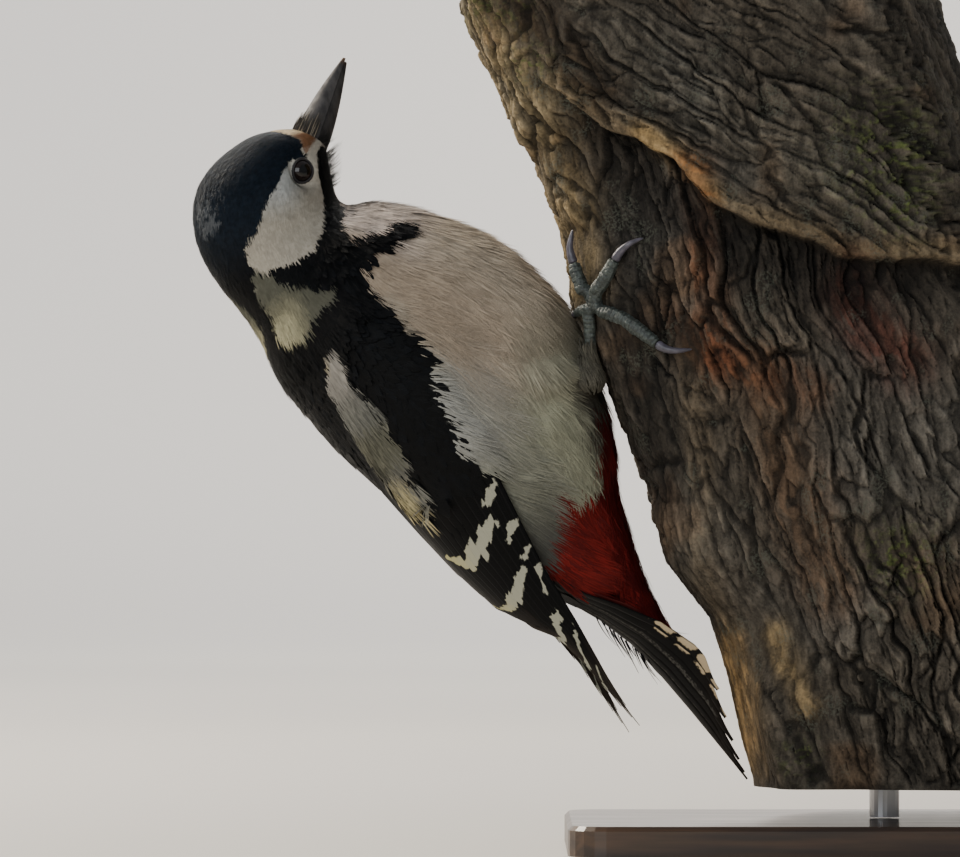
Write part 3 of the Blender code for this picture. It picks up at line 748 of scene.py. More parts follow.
        breast = smooth(station, 9, 10.5) * fall(station, 14.6, 17) * smooth(away, 84, 100)
        lay((0.47, 0.375, 0.28), breast)
        # partly painted light: the upper breast's pale buff is lightened where it turns away from the lamps
        lay((0.78, 0.66, 0.57), fall(station, 11.4, 13.2) * smooth(away, 112, 128))
        lay((0.66, 0.55, 0.42), smooth(station, 11.6, 12.8) * fall(station, 14.6, 16) * smooth(away, 116, 146))
        flank = fall(away, 84, 112) * smooth(station, 13.8, 15) * fall(station, 16, 18.5)
        lay((0.355, 0.35, 0.318), flank)
        # painted shade on the lower belly beside the foot
        lay((0.30, 0.265, 0.190), 0.6 * smooth(station, 14.4, 15.4) * fall(station, 16, 17) * smooth(away, 112, 130))
        lay((0.355, 0.35, 0.25), smooth(station, 15, 17) * smooth(away, 84, 104))
        # painted shade: darker between the wing and the belly, and on the lower belly that faces the trunk
        lay((0.235, 0.235, 0.185), smooth(station, 15.9, 17.2) * fall(away, 92, 116))
        lay((0.10, 0.098, 0.088), smooth(station, 17.4, 18.6) * fall(away, 84, 108))
        lay((0.085, 0.078, 0.062), smooth(station, 16, 16.9) * smooth(away, 126, 146))
        lay((0.43, 0.39, 0.32), smooth(cheek, -0.4, 0.3))
        lay((0.53, 0.54, 0.52), smooth(cheek, -0.4, 0.3) * fall(away, 84, 108) * fall(station, 5.6, 7.4))
        # partly painted light: the white lores are lightened where the face turns away from the lamps
        lay((0.62, 0.58, 0.50), smooth(cheek, -0.4, 0.3) * fall(station, 3.4, 4.6))
        # the white neck patch is laid dark grey as painted shade, with cream towards the back as painted sunlight
        lay((0.105, 0.104, 0.080), smooth(neck, -1.5, 0))
        lay((0.45, 0.42, 0.27), smooth(neck, -1.5, 0) * smooth(station, 10, 11.7) * fall(away, 22, 56))
        # the white patch over the wing: its greys and darker band are painted shade, its creams painted sunlight
        patch = smooth(scapular, -1.5, 0)
        lay((0.165, 0.164, 0.145), patch)
        lay((0.29, 0.272, 0.245), patch * fall(station, 13.2, 14.2))
        lay((0.50, 0.42, 0.22), patch * fall(station, 12.9, 13.3) * fall(away, 48, 54))
        lay((0.135, 0.132, 0.100), patch * smooth(station, 14.4, 14.7) * fall(station, 15.2, 15.5))
        lay((0.47, 0.41, 0.235), patch * smooth(station, 15.4, 16) * (1 - smooth(away + 7 * (station - 16), 34, 44)))
        # dark lines between the patch's lobes, painted shade
        for middle, slope in ((14.62, 0.018), (15.5, 0.015)):
            lay((0.075, 0.072, 0.060), 0.5 * patch * np.exp(-((station - middle - slope * (away - 42)) / 0.09) ** 2))
        # bluish grey of the nape's flecks, painted sheen
        lay((0.085, 0.092, 0.100), (station > 5.8) * (station < 7.4) * fall(away, 36, 42))
        # partly painted light: the forehead's buff is brightened to cream at the top as a painted sunlit highlight
        lay((0.96, 0.78, 0.52), smooth(forehead, -0.5, 0.4) * fall(away, 48, 68))
        lay((0.28, 0.14, 0.072), smooth(forehead, -0.5, 0.4) * smooth(away, 46, 66) * fall(away, 91, 97))
        lay((0.66, 0.61, 0.52), smooth(forehead, -0.5, 0.4) * smooth(away, 91, 97))
        return np.column_stack([colour, np.ones(len(colour))])


# ---------------------------------------------------------------- finishes


@dataclass(frozen=True)
class PlumageFinish:
    """Feathers whose colours come from the markings stored on the mesh."""

    name: str = "plumage"
    black: tuple = (0.0014, 0.0017, 0.0023, 1)
    # painted sheen: black tufts turn bluish towards their tips, and a blue gloss colour is laid on the crown
    black_edge: tuple = (0.0024, 0.0034, 0.0052, 1)
    gloss: tuple = (0.0085, 0.0150, 0.0250, 1)
    red: tuple = (0.20, 0.016, 0.013, 1)
    red_deep: tuple = (0.095, 0.011, 0.010, 1)
    softness: float = 0.6
    barbs: float = 46
    slant: float = 9

    def material(self) -> Material:
        """Return the finish as a material."""
        material, n = new_material(self.name)
        across, along = n.vane()
        off_shaft = n.math("ABSOLUTE", n.math("SUBTRACT", across, 0.5))
        wave = n.math("SINE", n.plus(n.times(along, self.barbs * 2), n.times(off_shaft, -self.slant * 6)))
        tint, streak = n.attribute("tint"), n.noise(900, 2)
        value = n.times(n.between(tint, 0, 1, 0.90, 1.08), n.between(streak, 0.25, 0.75, 0.92, 1.05))
        pale = n.shade(n.attribute("pale", "Color"), value)
        red = n.blend(n.between(tint, 0, 1), self.red_deep, self.red)
        # painted sheen on the black: bluish tips, and the crown's blue gloss colour
        black = n.blend(n.between(n.times(tint, along), 0.3, 1), self.black, self.black_edge)
        shine = n.times(n.attribute("gloss"), n.between(streak, 0.3, 0.7, 0.55, 1))
        black = n.blend(shine, black, self.gloss)
        base = n.blend(n.between(n.attribute("ruddy"), -0.3, 0.3), pale, red)
        dark = n.between(n.attribute("dark"), -0.12, 0.12)
        height = n.plus(n.times(wave, 0.5), n.noise(1400, 2))
        # tufts are shaded partly like the skin they stand on, as soft plumage is
        own = n.add("ShaderNodeNewGeometry").outputs["Normal"]
        wires = {0: self.softness, 4: own, 5: n.attribute("soft", "Vector")}
        soft = n.add("ShaderNodeMix", wires, data_type="VECTOR").outputs[1]
        soft = n.first("ShaderNodeVectorMath", {0: soft}, operation="NORMALIZE")
        return dress(material, Base_Color=n.blend(dark, base, black), Roughness=n.between(dark, 0, 1, 0.85, 0.50),
                     Specular_IOR_Level=0.10, Normal=n.bump(height, 0.35, 0.00012, Normal=soft))


@dataclass(frozen=True)
class VaneFinish:
    """Large feathers: dark with crisp spots stored on the mesh as mm inside a spot."""

    name: str
    dark: tuple = (0.0014, 0.0016, 0.0020, 1)
    worn: tuple = (0.045, 0.034, 0.026, 1)
    shaft: tuple = (0.0055, 0.0055, 0.0060, 1)
    barbs: float = 150
    rib: tuple = (0.012, 0.045)

    def material(self) -> Material:
        """Return the finish as a material."""
        material, n = new_material(self.name)
        across, along = n.vane()
        off_shaft = n.math("ABSOLUTE", n.math("SUBTRACT", across, n.attribute("shaft_at")))
        wave = n.math("SINE", n.plus(n.times(along, self.barbs * 6.283), n.times(off_shaft, -60)))
        ragged = n.times(n.math("SUBTRACT", n.noise(1500, 2), 0.5), 0.9)
        spot = n.between(n.plus(n.attribute("spot"), ragged), -0.20, 0.16)
        worn = n.times(n.attribute("worn"), n.between(n.noise(300), 0.3, 0.7, 0.6, 1))
        base = n.blend(spot, n.blend(worn, self.dark, self.worn), n.attribute("pale", "Color"))
        rib = n.between(off_shaft, *self.rib, 1, 0)
        base = n.blend(n.times(n.times(rib, 0.85), n.math("SUBTRACT", 1, spot)), base, self.shaft)
        height = n.plus(n.times(wave, 0.35), n.times(rib, 1.2))
        return dress(material, Base_Color=base, Roughness=n.between(spot, 0, 1, 0.50, 0.75),
                     Specular_IOR_Level=0.09, Normal=n.bump(height, 0.4, 0.00012))


@dataclass(frozen=True)
class MottledFinish:
    """A hard or leathery surface whose two tones follow noise and a stored depth."""

    name: str
    light: tuple
    dark: tuple
    roughness: float = 0.5
    scale: float = 400
    stretch: tuple = (1, 1, 1)
    bump_depth: float = 0.0001
    metallic: float = 0
    coat: float = 0
    depth: bool = False
    specular: float = 0.5

    def material(self) -> Material:
        """Return the finish as a material."""
        material, n = new_material(self.name)
        grain = n.noise(self.scale, 4, self.stretch)
        base = n.blend(n.between(grain, 0.3, 0.7), self.light, self.dark)
        if self.depth:
            deep = tuple(c * 0.25 for c in self.dark[:3]) + (1,)
            base = n.blend(1, n.blend(n.attribute("depth"), base, deep), n.attribute("tone", "Color"), "MULTIPLY")
        rough = n.between(grain, 0.2, 0.8, self.roughness * 0.85, min(1, self.roughness * 1.2))
        return dress(material, Base_Color=base, Roughness=rough, Metallic=self.metallic, Coat_Weight=self.coat,
                     Specular_IOR_Level=self.specular, Normal=n.bump(grain, 0.6, self.bump_depth))


# ---------------------------------------------------------------- skin and coat


class Tuft(Enum):
    """Kinds of small feather, each a mesh one unit long and one wide."""

    VANE = "vane"
    STRANDS = "strands"
    WISP = "wisp"


@dataclass(frozen=True)
class TuftShape:
    """Sizes of the unit tufts, in shares of a tuft's length or width."""

    kind: Tuft
    rows: int = 4
    strands: int = 5
    strand_width: float = 0.2
    variants: int = 3
    stretch: float = 1

    def build(self, number: int) -> Item:
        """Return one variant as a helper object.

        Args:
            number: Which variant; it seeds the shape.

        Returns:
            An object lying along +X from its root, with a "vane" UV map.
        """
        chance = random.Random(f"{self.kind.value}{number}")
        points: list[tuple[float, float, float]] = []
        faces: list[tuple[int, ...]] = []
        uvs: list[tuple[float, float]] = []
        if self.kind is Tuft.VANE:
            self._vane(chance, points, faces, uvs)
        else:
            for strand in range(self.strands):
                self._strand(chance, strand, points, faces, uvs)
        item = make_object(f"helper_{self.kind.value}_{number}", points, faces)
        set_uv(item.data, "vane", np.array(uvs))
        return item

    def _vane(self, chance: random.Random, points: list, faces: list, uvs: list) -> None:
        """Add one leaf-shaped vane with a slightly ragged tip.

        Args:
            chance: Draws the raggedness.
            points: Corners, which are added to.
            faces: Faces, which are added to.
            uvs: Places on the feather, which are added to.
        """
        for row in range(self.rows + 1):
            t = row / self.rows
            half = 0.5 * math.sin(math.pi * min(0.12 + t * 0.8, 0.92)) ** 0.7 * (1 if t < 0.99 else 0.62)
            rise = 0.055 * math.sin(math.pi * t * 0.8)
            for x in (-1, 0, 1):
                reach = t + (0.05 * chance.uniform(-1, 1) if row == self.rows else 0)
                reach -= 0.07 * abs(x) * t
                points.append((reach, x * half, rise - 0.10 * abs(x) * half))
                uvs.append((0.5 + 0.5 * x, t))
            if row:
                for side in range(2):
                    a = (row - 1) * 3 + side
                    faces.append((a, a + 3, a + 4, a + 1))

    def _strand(self, chance: random.Random, strand: int, points: list, faces: list, uvs: list) -> None:
        """Add one tapering filament that bends a little on its way out.

        Args:
            chance: Draws its bends.
            strand: Its number.
            points: Corners, which are added to.
            faces: Faces, which are added to.
            uvs: Places on the feather, which are added to.
        """
        place = (strand + 0.5) / self.strands - 0.5
        start = place * 0.55 + chance.uniform(-0.08, 0.08)
        end = place * 1 + chance.uniform(-0.16, 0.16)
        reach = chance.uniform(0.72, 1) * self.stretch
        curl = chance.uniform(-0.05, 0.09)
        first = len(points)
        for row in range(3):
            t = (0, 0.45, 0.8)[row]
            width = self.strand_width * (0.8, 1, 0.6)[row] * 0.5
            y = start + (end - start) * t
            z = 0.08 * math.sin(math.pi * t) + curl * t * t
            points += [(t * reach, y - width, z), (t * reach, y + width, z)]
            uvs += [(0.5 + place - 0.08, t), (0.5 + place + 0.08, t)]
        points.append((reach, end, 0.02 + curl))
        uvs.append((0.5 + place, 1))
        faces += [(first, first + 2, first + 3, first + 1), (first + 2, first + 4, first + 5, first + 3),
                  (first + 4, first + 6, first + 5)]


@dataclass(frozen=True)
class CoatTree:
    """Geometry Nodes that cover a skin with tufts along its lie."""

    patch: float = 0.003

    def build(self) -> bpy.types.NodeTree:
        """Return the tree.

        It reads flow, reach, girth, lift, stray and a mask from the skin, and stores tint and
        the OFBake map on the coat.
        """
        tree = bpy.data.node_groups.new("coat", "GeometryNodeTree")
        sockets = (("Geometry", "Geometry"), ("Variants", "Collection"), ("Mask", "String"), ("Spacing", "Float"),
                   ("Seed", "Int"), ("Finish", "Material"))
        for name, kind in sockets:
            tree.interface.new_socket(name=name, in_out="INPUT", socket_type="NodeSocket" + kind)
        tree.interface.new_socket(name="Geometry", in_out="OUTPUT", socket_type="NodeSocketGeometry")
        n = Nodes(tree)
        given = n.add("NodeGroupInput").outputs

        def read(name: str | Socket, kind: str = "FLOAT") -> Socket:
            """Return a named attribute."""
            return n.first("GeometryNodeInputNamedAttribute", {"Name": name}, data_type=kind)

        def chance(low: float, high: float, offset: int) -> Socket:
            """Return a random number for each root."""
            seed = n.plus(given["Seed"], float(offset))
            return n.add("FunctionNodeRandomValue", {2: low, 3: high, "Seed": seed}, data_type="FLOAT").outputs[1]

        def store(mesh: Socket, name: str, value: Socket, kind: str, domain: str) -> Socket:
            """Return a mesh with one more attribute."""
            wires = {"Geometry": mesh, "Name": name, "Value": value}
            return n.first("GeometryNodeStoreNamedAttribute", wires, data_type=kind, domain=domain)

        roots = n.add("GeometryNodeDistributePointsOnFaces", {
            "Mesh": given["Geometry"], "Distance Min": given["Spacing"], "Density Max": 4.0e6,
            "Density Factor": read(given["Mask"]), "Seed": given["Seed"]}, distribute_method="POISSON")
        marked = store(roots.outputs["Points"], "tint", chance(0, 1, 1), "FLOAT", "POINT")
        marked = store(marked, "soft", roots.outputs["Normal"], "FLOAT_VECTOR", "POINT")
        stand = n.first("FunctionNodeAxesToRotation", {0: roots.outputs["Normal"], 1: read("flow", "FLOAT_VECTOR")},
                      primary_axis="Z", secondary_axis="X")
        yaw = n.times(read("stray"), chance(-1, 1, 2))
        pitch = n.times(n.times(read("lift"), chance(0.5, 1.5, 3)), -1)
        turn = n.first("ShaderNodeCombineXYZ", {0: n.times(read("stray"), chance(-1, 1, 4)),
                                              1: pitch, 2: yaw})
        turn = n.first("FunctionNodeEulerToRotation", {0: turn})
        turned = n.first("FunctionNodeRotateRotation", {0: stand, 1: turn}, rotation_space="LOCAL")
        length = n.times(read("reach"), chance(0.75, 1.2, 5))
        width = n.times(read("girth"), chance(0.8, 1.25, 6))
        size = n.first("ShaderNodeCombineXYZ", {0: length, 1: width, 2: length})
        shapes = n.add("GeometryNodeCollectionInfo", {
            "Collection": given["Variants"], "Separate Children": True, "Reset Children": True})
        pick = n.add("FunctionNodeRandomValue", {4: 0, 5: 100, "Seed": given["Seed"]}, data_type="INT").outputs[2]
        tufts = n.add("GeometryNodeInstanceOnPoints", {
            "Points": marked, "Instance": shapes.outputs[0], "Pick Instance": True, "Instance Index": pick,
            "Rotation": turned, "Scale": size})
        real = n.first("GeometryNodeRealizeInstances", {0: tufts.outputs[0]})
        local = n.first("ShaderNodeVectorMath", {0: read("vane", "FLOAT_VECTOR"), 1: (0.5, 0.5, 0)},
                      operation="SUBTRACT")
        local = n.first("ShaderNodeVectorMath", {0: local, "Scale": self.patch}, operation="SCALE")
        baked = n.first("ShaderNodeVectorMath", {0: read("skin_map", "FLOAT_VECTOR"), 1: local})
        stored = store(real, "OFBake", baked, "FLOAT2", "CORNER")
        dressed = n.first("GeometryNodeSetMaterial", {"Geometry": stored, "Material": given["Finish"]})
        n.add("NodeGroupOutput", {0: dressed})
        return tree


@dataclass(frozen=True)
class CoatRegion:
    """One piece of the coat: where it grows and how its tufts are."""

    name: str
    shape: TuftShape
    spacing: float
    slot: str
    grows: Callable[[dict[str, Array]], Array]
    seed: int


@dataclass
class Plumage:
    """The skin over the bird's flesh and the small feathers over the skin."""

    bird: BirdFrame
    body: BodyMap
    markings: Markings = Markings()
    coat_depth: float = 0.0011
    swell: float = 0.0012
    voxel: float = 0.00095
    wing_cut: float = -26              # where the skin ends under the wing's feathers, mm along the bird
    skin_rounds: int = 26              # rounds of smoothing, here and below
    shoulder_rounds: int = 60
    flow_rounds: int = 14
    settle: float = 0.00018            # what smoothing takes from the skin's thickness
    fleshy: tuple = ("head", "neck", "torso", "thigh_right", "thigh_left")
    eye_reach: float = 3.05            # half length of the opening towards the bill, mm
    eye_rise: float = 2.6              # half height of the opening, mm
    ball: float = 4.08                 # the eyeball with a little air, mm
    eye_spot: tuple = (-0.0132, 0.0026, 0.0072)          # forward, up and out of the bill's base
    hip: tuple = (-10.0, 15.0, -16.0)                    # a thigh's ends in the bird's frame, mm
    ankle: tuple = (-25.5, 14.0, -29.8)
    lid_tone: tuple = (0.045, 0.042, 0.044, 1.0)
    # length of the feathers by station on the sides and on the back, mm, and their lift, degrees
    side_reach: tuple = (
        (0, 1.3), (1.5, 1.8), (3, 2.3), (6, 3.2), (8.5, 4.4), (10.5, 6.5), (12, 8.5), (14.5, 10.5), (17, 11),
        (18.5, 9.5), (20, 10.5),
    )
    back_reach: tuple = ((0, 1.3), (3, 2.2), (7, 3.2), (10, 4.6), (12, 6), (16, 8.5), (20, 10))
    lift: tuple = ((0, 5), (6, 4), (9.5, 7), (12, 8), (16, 6), (20, 5))

    def flesh(self) -> Item:
        """Join copies of the flesh nodes and the wings' front parts into one smooth closed skin.

        Returns:
            The skin.
        """
        shape = bmesh.new()
        for node in self.fleshy + ("wing_right", "wing_left"):
            part = copy_of_node(node)
            if node.startswith("wing"):
                cut = self.bird.place(self.wing_cut, 0, 0)
                whole = part.verts[:] + part.edges[:] + part.faces[:]
                bmesh.ops.bisect_plane(part, geom=whole, plane_co=cut, plane_no=-self.bird.axes()[0], clear_outer=True)
                bmesh.ops.holes_fill(part, edges=[edge for edge in part.edges if edge.is_boundary])
            push_out(part, self.swell)
            join_shape(shape, part)
        # the loft closes the eye sockets; open_eyes opens them again to the lids' shape
        rings = self.body.grid[:int(6 / self.body.station_step) + 1]
        corners = [shape.verts.new(point) for point in rings.reshape(-1, 3)]
        for face in tube_faces(*rings.shape[:2]):
            shape.faces.new([corners[i] for i in face])
        skin = voxel_object("skin", shape, self.voxel, self.skin_rounds)
        self.keep_outer_shell(skin.data)
        self.ease_shoulders(skin.data)
        points = points_of(skin.data) + normals_of(skin.data) * self.settle
        set_points(skin.data, points)
        station = self.body.locate(points)[0]
        depth = self.swell + self.coat_depth * (0.4 + 0.6 * smooth(station, 6, 10))
        set_points(skin.data, points - normals_of(skin.data) * depth[:, None])
        self.open_eyes(skin.data)
        skin.data.shade_smooth()
        return skin

    def ease_shoulders(self, mesh: Mesh) -> None:
        """Smooth the skin further where the wing's front meets the neck.

        Args:
            mesh: The skin's mesh.
        """
        points = points_of(mesh)
        station, degrees, _ = self.body.locate(points)
        away = np.abs(degrees)
        share = smooth(station, 10.8, 11.8) * fall(station, 14, 15) * smooth(away, 20, 40) * fall(away, 96, 112)
        one, two = edge_ends(mesh)
        degree = np.bincount(np.concatenate([one, two]), minlength=len(points)).astype(float)[:, None]
        for _ in range(self.shoulder_rounds):
            total = np.zeros_like(points)
            np.add.at(total, one, points[two])
            np.add.at(total, two, points[one])
            points += (total / degree - points) * (0.7 * share)[:, None]
        set_points(mesh, points)

    def open_eyes(self, mesh: Mesh) -> None:
        """Refine the skin round the eyes and sink it to two lids that hug the balls.

        Args:
            mesh: The skin's mesh.
        """
        shape = shape_of(mesh)
        gap = np.min([self.eye_place(points_of(mesh), *eye)[1] for eye in self.eye_axes()], axis=0)
        close = [edge for edge in shape.edges if max(gap[vertex.index] for vertex in edge.verts) < 2.6]
        bmesh.ops.subdivide_edges(shape, edges=close, cuts=3, use_grid_fill=True, smooth=0)
        bmesh.ops.recalc_face_normals(shape, faces=shape.faces)
        close_shape(shape, mesh)
        points = points_of(mesh)
        for centre, out in self.eye_axes():
            along, beyond, radius = self.eye_place(points, centre, out)
            edge = radius - beyond
            rest = np.sqrt(np.maximum(self.ball ** 2 - np.minimum(radius, edge + 0.45) ** 2, 0))
            lid = rest + 0.08 + 0.36 * np.sin(math.pi * np.clip(beyond / 0.62, 0, 1)) ** 0.7
            lid += 0.12 * np.clip(beyond, 0, 3)
            lid -= np.clip(-beyond, 0, 0.4) * 6
            share = smooth(beyond, 0.55, 2.5)
            wanted = np.where(beyond < 2.5, lid * (1 - share) + along * share, along)
            points += np.outer(np.where(along > 0, wanted - along, 0), out) * MM
        set_points(mesh, points)

    def eye_place(self, points: Array, centre: Array, out: Array) -> tuple[Array, Array, Array]:
        """Place points against one eye, in mm.

        Args:
            points: World points.
            centre: The ball's centre.
            out: Its outward direction.

        Returns:
            Distance out from the centre, distance beyond the opening's edge, and distance
            from the axis; behind the ball the second is large.
        """
        _, forward, up, _ = self.bird.head_rows()
        offset = (points - centre) / MM
        along, a, b = offset @ out, offset @ forward, offset @ up
        radius = np.hypot(a, b)
        turn = np.arctan2(b, a)
        opening = self.eye_reach * self.eye_rise / np.hypot(self.eye_rise * np.cos(turn), self.eye_reach * np.sin(turn))
        return along, np.where(along > 0, radius - opening, 99), radius

    def keep_outer_shell(self, mesh: Mesh) -> None:
        """Delete the closed hollows that the joining leaves inside.

        Args:
            mesh: The skin's mesh.
        """
        shape = shape_of(mesh)
        shape.verts.ensure_lookup_table()
        seen: set[int] = set()
        shells: list[list] = []
        for vertex in shape.verts:
            if vertex.index in seen:
                continue
            shell, open_ends = [], [vertex]
            seen.add(vertex.index)
            while open_ends:
                here = open_ends.pop()
                shell.append(here)
                for edge in here.link_edges:
                    other = edge.other_vert(here)
                    if other.index not in seen:
                        seen.add(other.index)
                        open_ends.append(other)
            shells.append(shell)
        shells.sort(key=len)
        for shell in shells[:-1]:
            bmesh.ops.delete(shape, geom=shell, context="VERTS")
        close_shape(shape, mesh)

    def unwrap(self, skin: Item) -> None:
        """Unwrap the skin by its own shape."""
        bpy.context.view_layer.objects.active = skin
        bpy.ops.object.mode_set(mode="EDIT")
        bpy.ops.mesh.select_all(action="SELECT")
        bpy.ops.uv.smart_project(angle_limit=math.radians(66), island_margin=0.004)
        bpy.ops.object.mode_set(mode="OBJECT")
        skin.data.uv_layers[0].name = "skin_map"

    def thigh_share(self, points: Array) -> tuple[Array, Array]:
        """Return how much each point belongs to a thigh, and the thigh's direction there.

        Args:
            points: World points.

        Returns:
            Shares from 0 to 1 and rows of directions.
        """
        coords = self.bird.to_bird(points)
        hip, ankle = np.array([self.hip, self.ankle])
        mirrored = np.column_stack([coords[:, 0], np.abs(coords[:, 1]), coords[:, 2]])
        axis = unit(ankle - hip)
        along = (mirrored - hip) @ axis
        off = np.linalg.norm(mirrored - hip - np.outer(along, axis), axis=1)
        share = smooth(along, 9, 14) * fall(off, 5, 9)
        axes = np.array([tuple(way) for way in self.bird.axes()])
        signs = np.column_stack([np.ones(len(points)), np.sign(coords[:, 1]), np.ones(len(points))])
        return share, unit((axis * signs) @ axes)

    def eye_axes(self) -> list[tuple[Array, Array]]:
        """Return both eyes' centres and outward directions."""
        base, forward, up, right = self.bird.head_axes()
        found = []
        for side in (1, -1):
            centre = base + forward * self.eye_spot[0] + up * self.eye_spot[1] + right * side * self.eye_spot[2]
            found.append((np.array(centre), np.array(right * side)))
        return found

    def describe(self, skin: Item) -> dict[str, Array]:
        """Store markings, lie and lengths on the skin and return the fields by name.

        Args:
            skin: The skin.

        Returns:
            Rows or numbers for each of its points.
        """
        mesh = skin.data
        points, normals = points_of(mesh), normals_of(mesh)
        station, degrees, tailward = self.body.locate(points)
        coords = self.bird.to_bird(points)
        away = np.abs(degrees)
        side = np.where(degrees >= 0, 1, -1)
        thigh, thigh_down = self.thigh_share(points)
        wobble = fractal(points * 420, 3, 5)

        # feathers fan out over the flank: towards the back by the wing, towards the belly below
        fan = np.radians(26) * fall(away, 84, 112) * smooth(station, 12, 13.5)
        fan -= np.radians(24) * smooth(away, 118, 150) * smooth(station, 14.5, 17) * fall(away, 160, 178)
        fan *= smooth(away, 60, 74)
        across = unit(np.cross(normals, tailward)) * side[:, None]
        flow = tailward * np.cos(fan)[:, None] + across * np.sin(fan)[:, None]
        flow = flow * (1 - thigh)[:, None] + thigh_down * thigh[:, None]
        flow += 0.16 * unit(np.column_stack([fractal(points * 130 + k * 9, 2, 20 + k) for k in range(3)]))
        flow = self.spread(mesh, unit(flow - normals * (flow * normals).sum(1)[:, None]), self.flow_rounds)

        backness = fall(away, 70, 88)
        reach = read_table(self.side_reach, station) * (1 - backness) + read_table(self.back_reach, station) * backness
        reach = reach * (1 - 0.35 * thigh)
        girth = reach * (0.34 * (1 - backness) + 0.46 * backness)
        lift = np.radians(read_table(self.lift, station))
        lift *= 1 - 0.6 * backness
        stray = np.radians(9 + 6 * smooth(away, 80, 110) * smooth(station, 11, 14) - 5.5 * backness)

        over_edge = away - read_table(Markings.underparts, station)
        fringe = smooth(over_edge, -3, 1) * fall(over_edge, 7, 15)
        fringe = fringe * smooth(station, 12.4, 13.4) * fall(station, 17.6, 18.6)
        reach *= 1 + 0.35 * fringe
        girth *= 1 - 0.25 * fringe
        stray += np.radians(9) * fringe
        # short tufts keep the head's pattern crisp
        head_edge = np.exp(-(self.markings.read(station, degrees, wobble * 0)["dark"] / 1.1) ** 2)
        reach *= 1 - 0.45 * head_edge * fall(station, 8.6, 9.8)
        bare, brow = np.zeros(len(points)), np.full(len(points), -9)
        _, forward, crownward, _ = self.bird.head_rows()
        for centre, out in self.eye_axes():
            _, beyond, _ = self.eye_place(points, centre, out)
            close = fall(beyond, 0.4, 3.4)
            reach *= 1 - 0.5 * close
            lift *= 1 - 0.6 * close
            radial = points - centre
            radial = unit(radial - np.outer(radial @ out, out))
            # a dark brow in two lobes: direction, its cosine at the edge, sharpness and reach in mm
            for ahead, rise, edge, sharpness, end in ((0.84, 0.54, 0.83, 7, 2.3), (0.80, 0.60, 0.962, 24, 3.5)):
                before = radial @ unit(forward * ahead + crownward * rise)
                brow = np.maximum(brow, np.minimum((before - edge) * sharpness, end - beyond))
            flow = unit(flow + radial * (1.3 * close)[:, None])
            bare = np.maximum(bare, fall(beyond, 0.55, 0.8))
        flow = unit(flow - normals * (flow * normals).sum(1)[:, None])

        # markings are read where a tuft's middle will lie, so that its colour falls in place
        landed = points + flow * (reach * MM * 0.55)[:, None]
        far_station, far_degrees, _ = self.body.locate(landed)
        marks = self.markings.read(station, degrees, wobble * 0.4)
        landed_marks = self.markings.read(far_station, far_degrees, wobble)
        for store in (marks, landed_marks):
            store["dark"] = np.maximum(store["dark"], brow + 0.15 * wobble)
        fields = {
            "station": station, "degrees": degrees, "away": away, "thigh": thigh, "bare": bare,
            "s": coords[:, 0], "y": coords[:, 1], "h": coords[:, 2], "dark": landed_marks["dark"],
            "ruddy": landed_marks["ruddy"], "points": points, "normals": normals, "flow": flow, "fringe": fringe,
        }
        stored = {"flow": flow, "reach": reach * MM, "girth": girth * MM, "lift": lift, "stray": stray}
        for key, values in (stored | landed_marks).items():
            set_attribute(mesh, key, values)
        # where the crown's blue gloss colour is laid, as painted sheen on the black
        set_attribute(mesh, "gloss", fall(station, 6.4, 9) * fall(away, 88, 98))
        lids = bare > 0.5
        marks["pale"][lids] = self.lid_tone
        marks["dark"] = np.where(lids, -1, marks["dark"])
        marks["ruddy"] = np.where(lids, -5, marks["ruddy"])
        self.skin_marks = marks
        return fields

    def spread(self, mesh: Mesh, flow: Array, rounds: int) -> Array:
        """Return the lie of the feathers averaged with its neighbours, so that it never crosses itself."""
        one, two = edge_ends(mesh)
        count = len(flow)
        for _ in range(rounds):
            total = [np.bincount(one, flow[two, k], count) + np.bincount(two, flow[one, k], count) for k in range(3)]
            flow = unit(flow + np.column_stack(total))
        return flow

    def grow(self, skin: Item, fields: dict, regions: Sequence[CoatRegion],
             material: Material) -> None:
        """Cover the skin with every region of the coat.

        Args:
            skin: The skin.
            fields: What describe found.
            regions: The pieces of the coat.
            material: Their finish.
        """
        tree = CoatTree().build()
        names = {item.name: item.identifier for item in tree.interface.items_tree if item.in_out == "INPUT"}
        made: dict[TuftShape, bpy.types.Collection] = {}
        for region in regions:
            if region.shape not in made:
                group = bpy.data.collections.new("helper_" + region.shape.kind.value + str(len(made)))
                for number in range(region.shape.variants):
                    item = region.shape.build(number)
                    bpy.context.scene.collection.objects.unlink(item)
                    group.objects.link(item)
                made[region.shape] = group
            set_attribute(skin.data, "here", np.clip(region.grows(fields) * (1 - fields["bare"]), 0, 1))
            coat = bpy.data.objects.new(region.name, skin.data.copy())
            bpy.context.scene.collection.objects.link(coat)
            coat.data.materials.clear()
            modifier = coat.modifiers.new("coat", "NODES")
            modifier.node_group = tree
            modifier[names["Variants"]] = made[region.shape]
            modifier[names["Mask"]] = "here"
            modifier[names["Spacing"]] = region.spacing
            modifier[names["Seed"]] = region.seed
            modifier[names["Finish"]] = material
            apply_modifiers(coat)
            self.clean(coat.data)
            finish_piece(coat, region.slot)
        for group in made.values():
            for item in list(group.objects):
                bpy.data.objects.remove(item, do_unlink=True)
            bpy.data.collections.remove(group)

    def clean(self, mesh: Mesh) -> None:
        """Drop the attributes that only growing needed and shade the tufts smooth."""
        for name in ("flow", "reach", "girth", "lift", "stray", "here", "skin_map", "Normal"):
            if name in mesh.attributes:
                mesh.attributes.remove(mesh.attributes[name])
        mesh.shade_smooth()

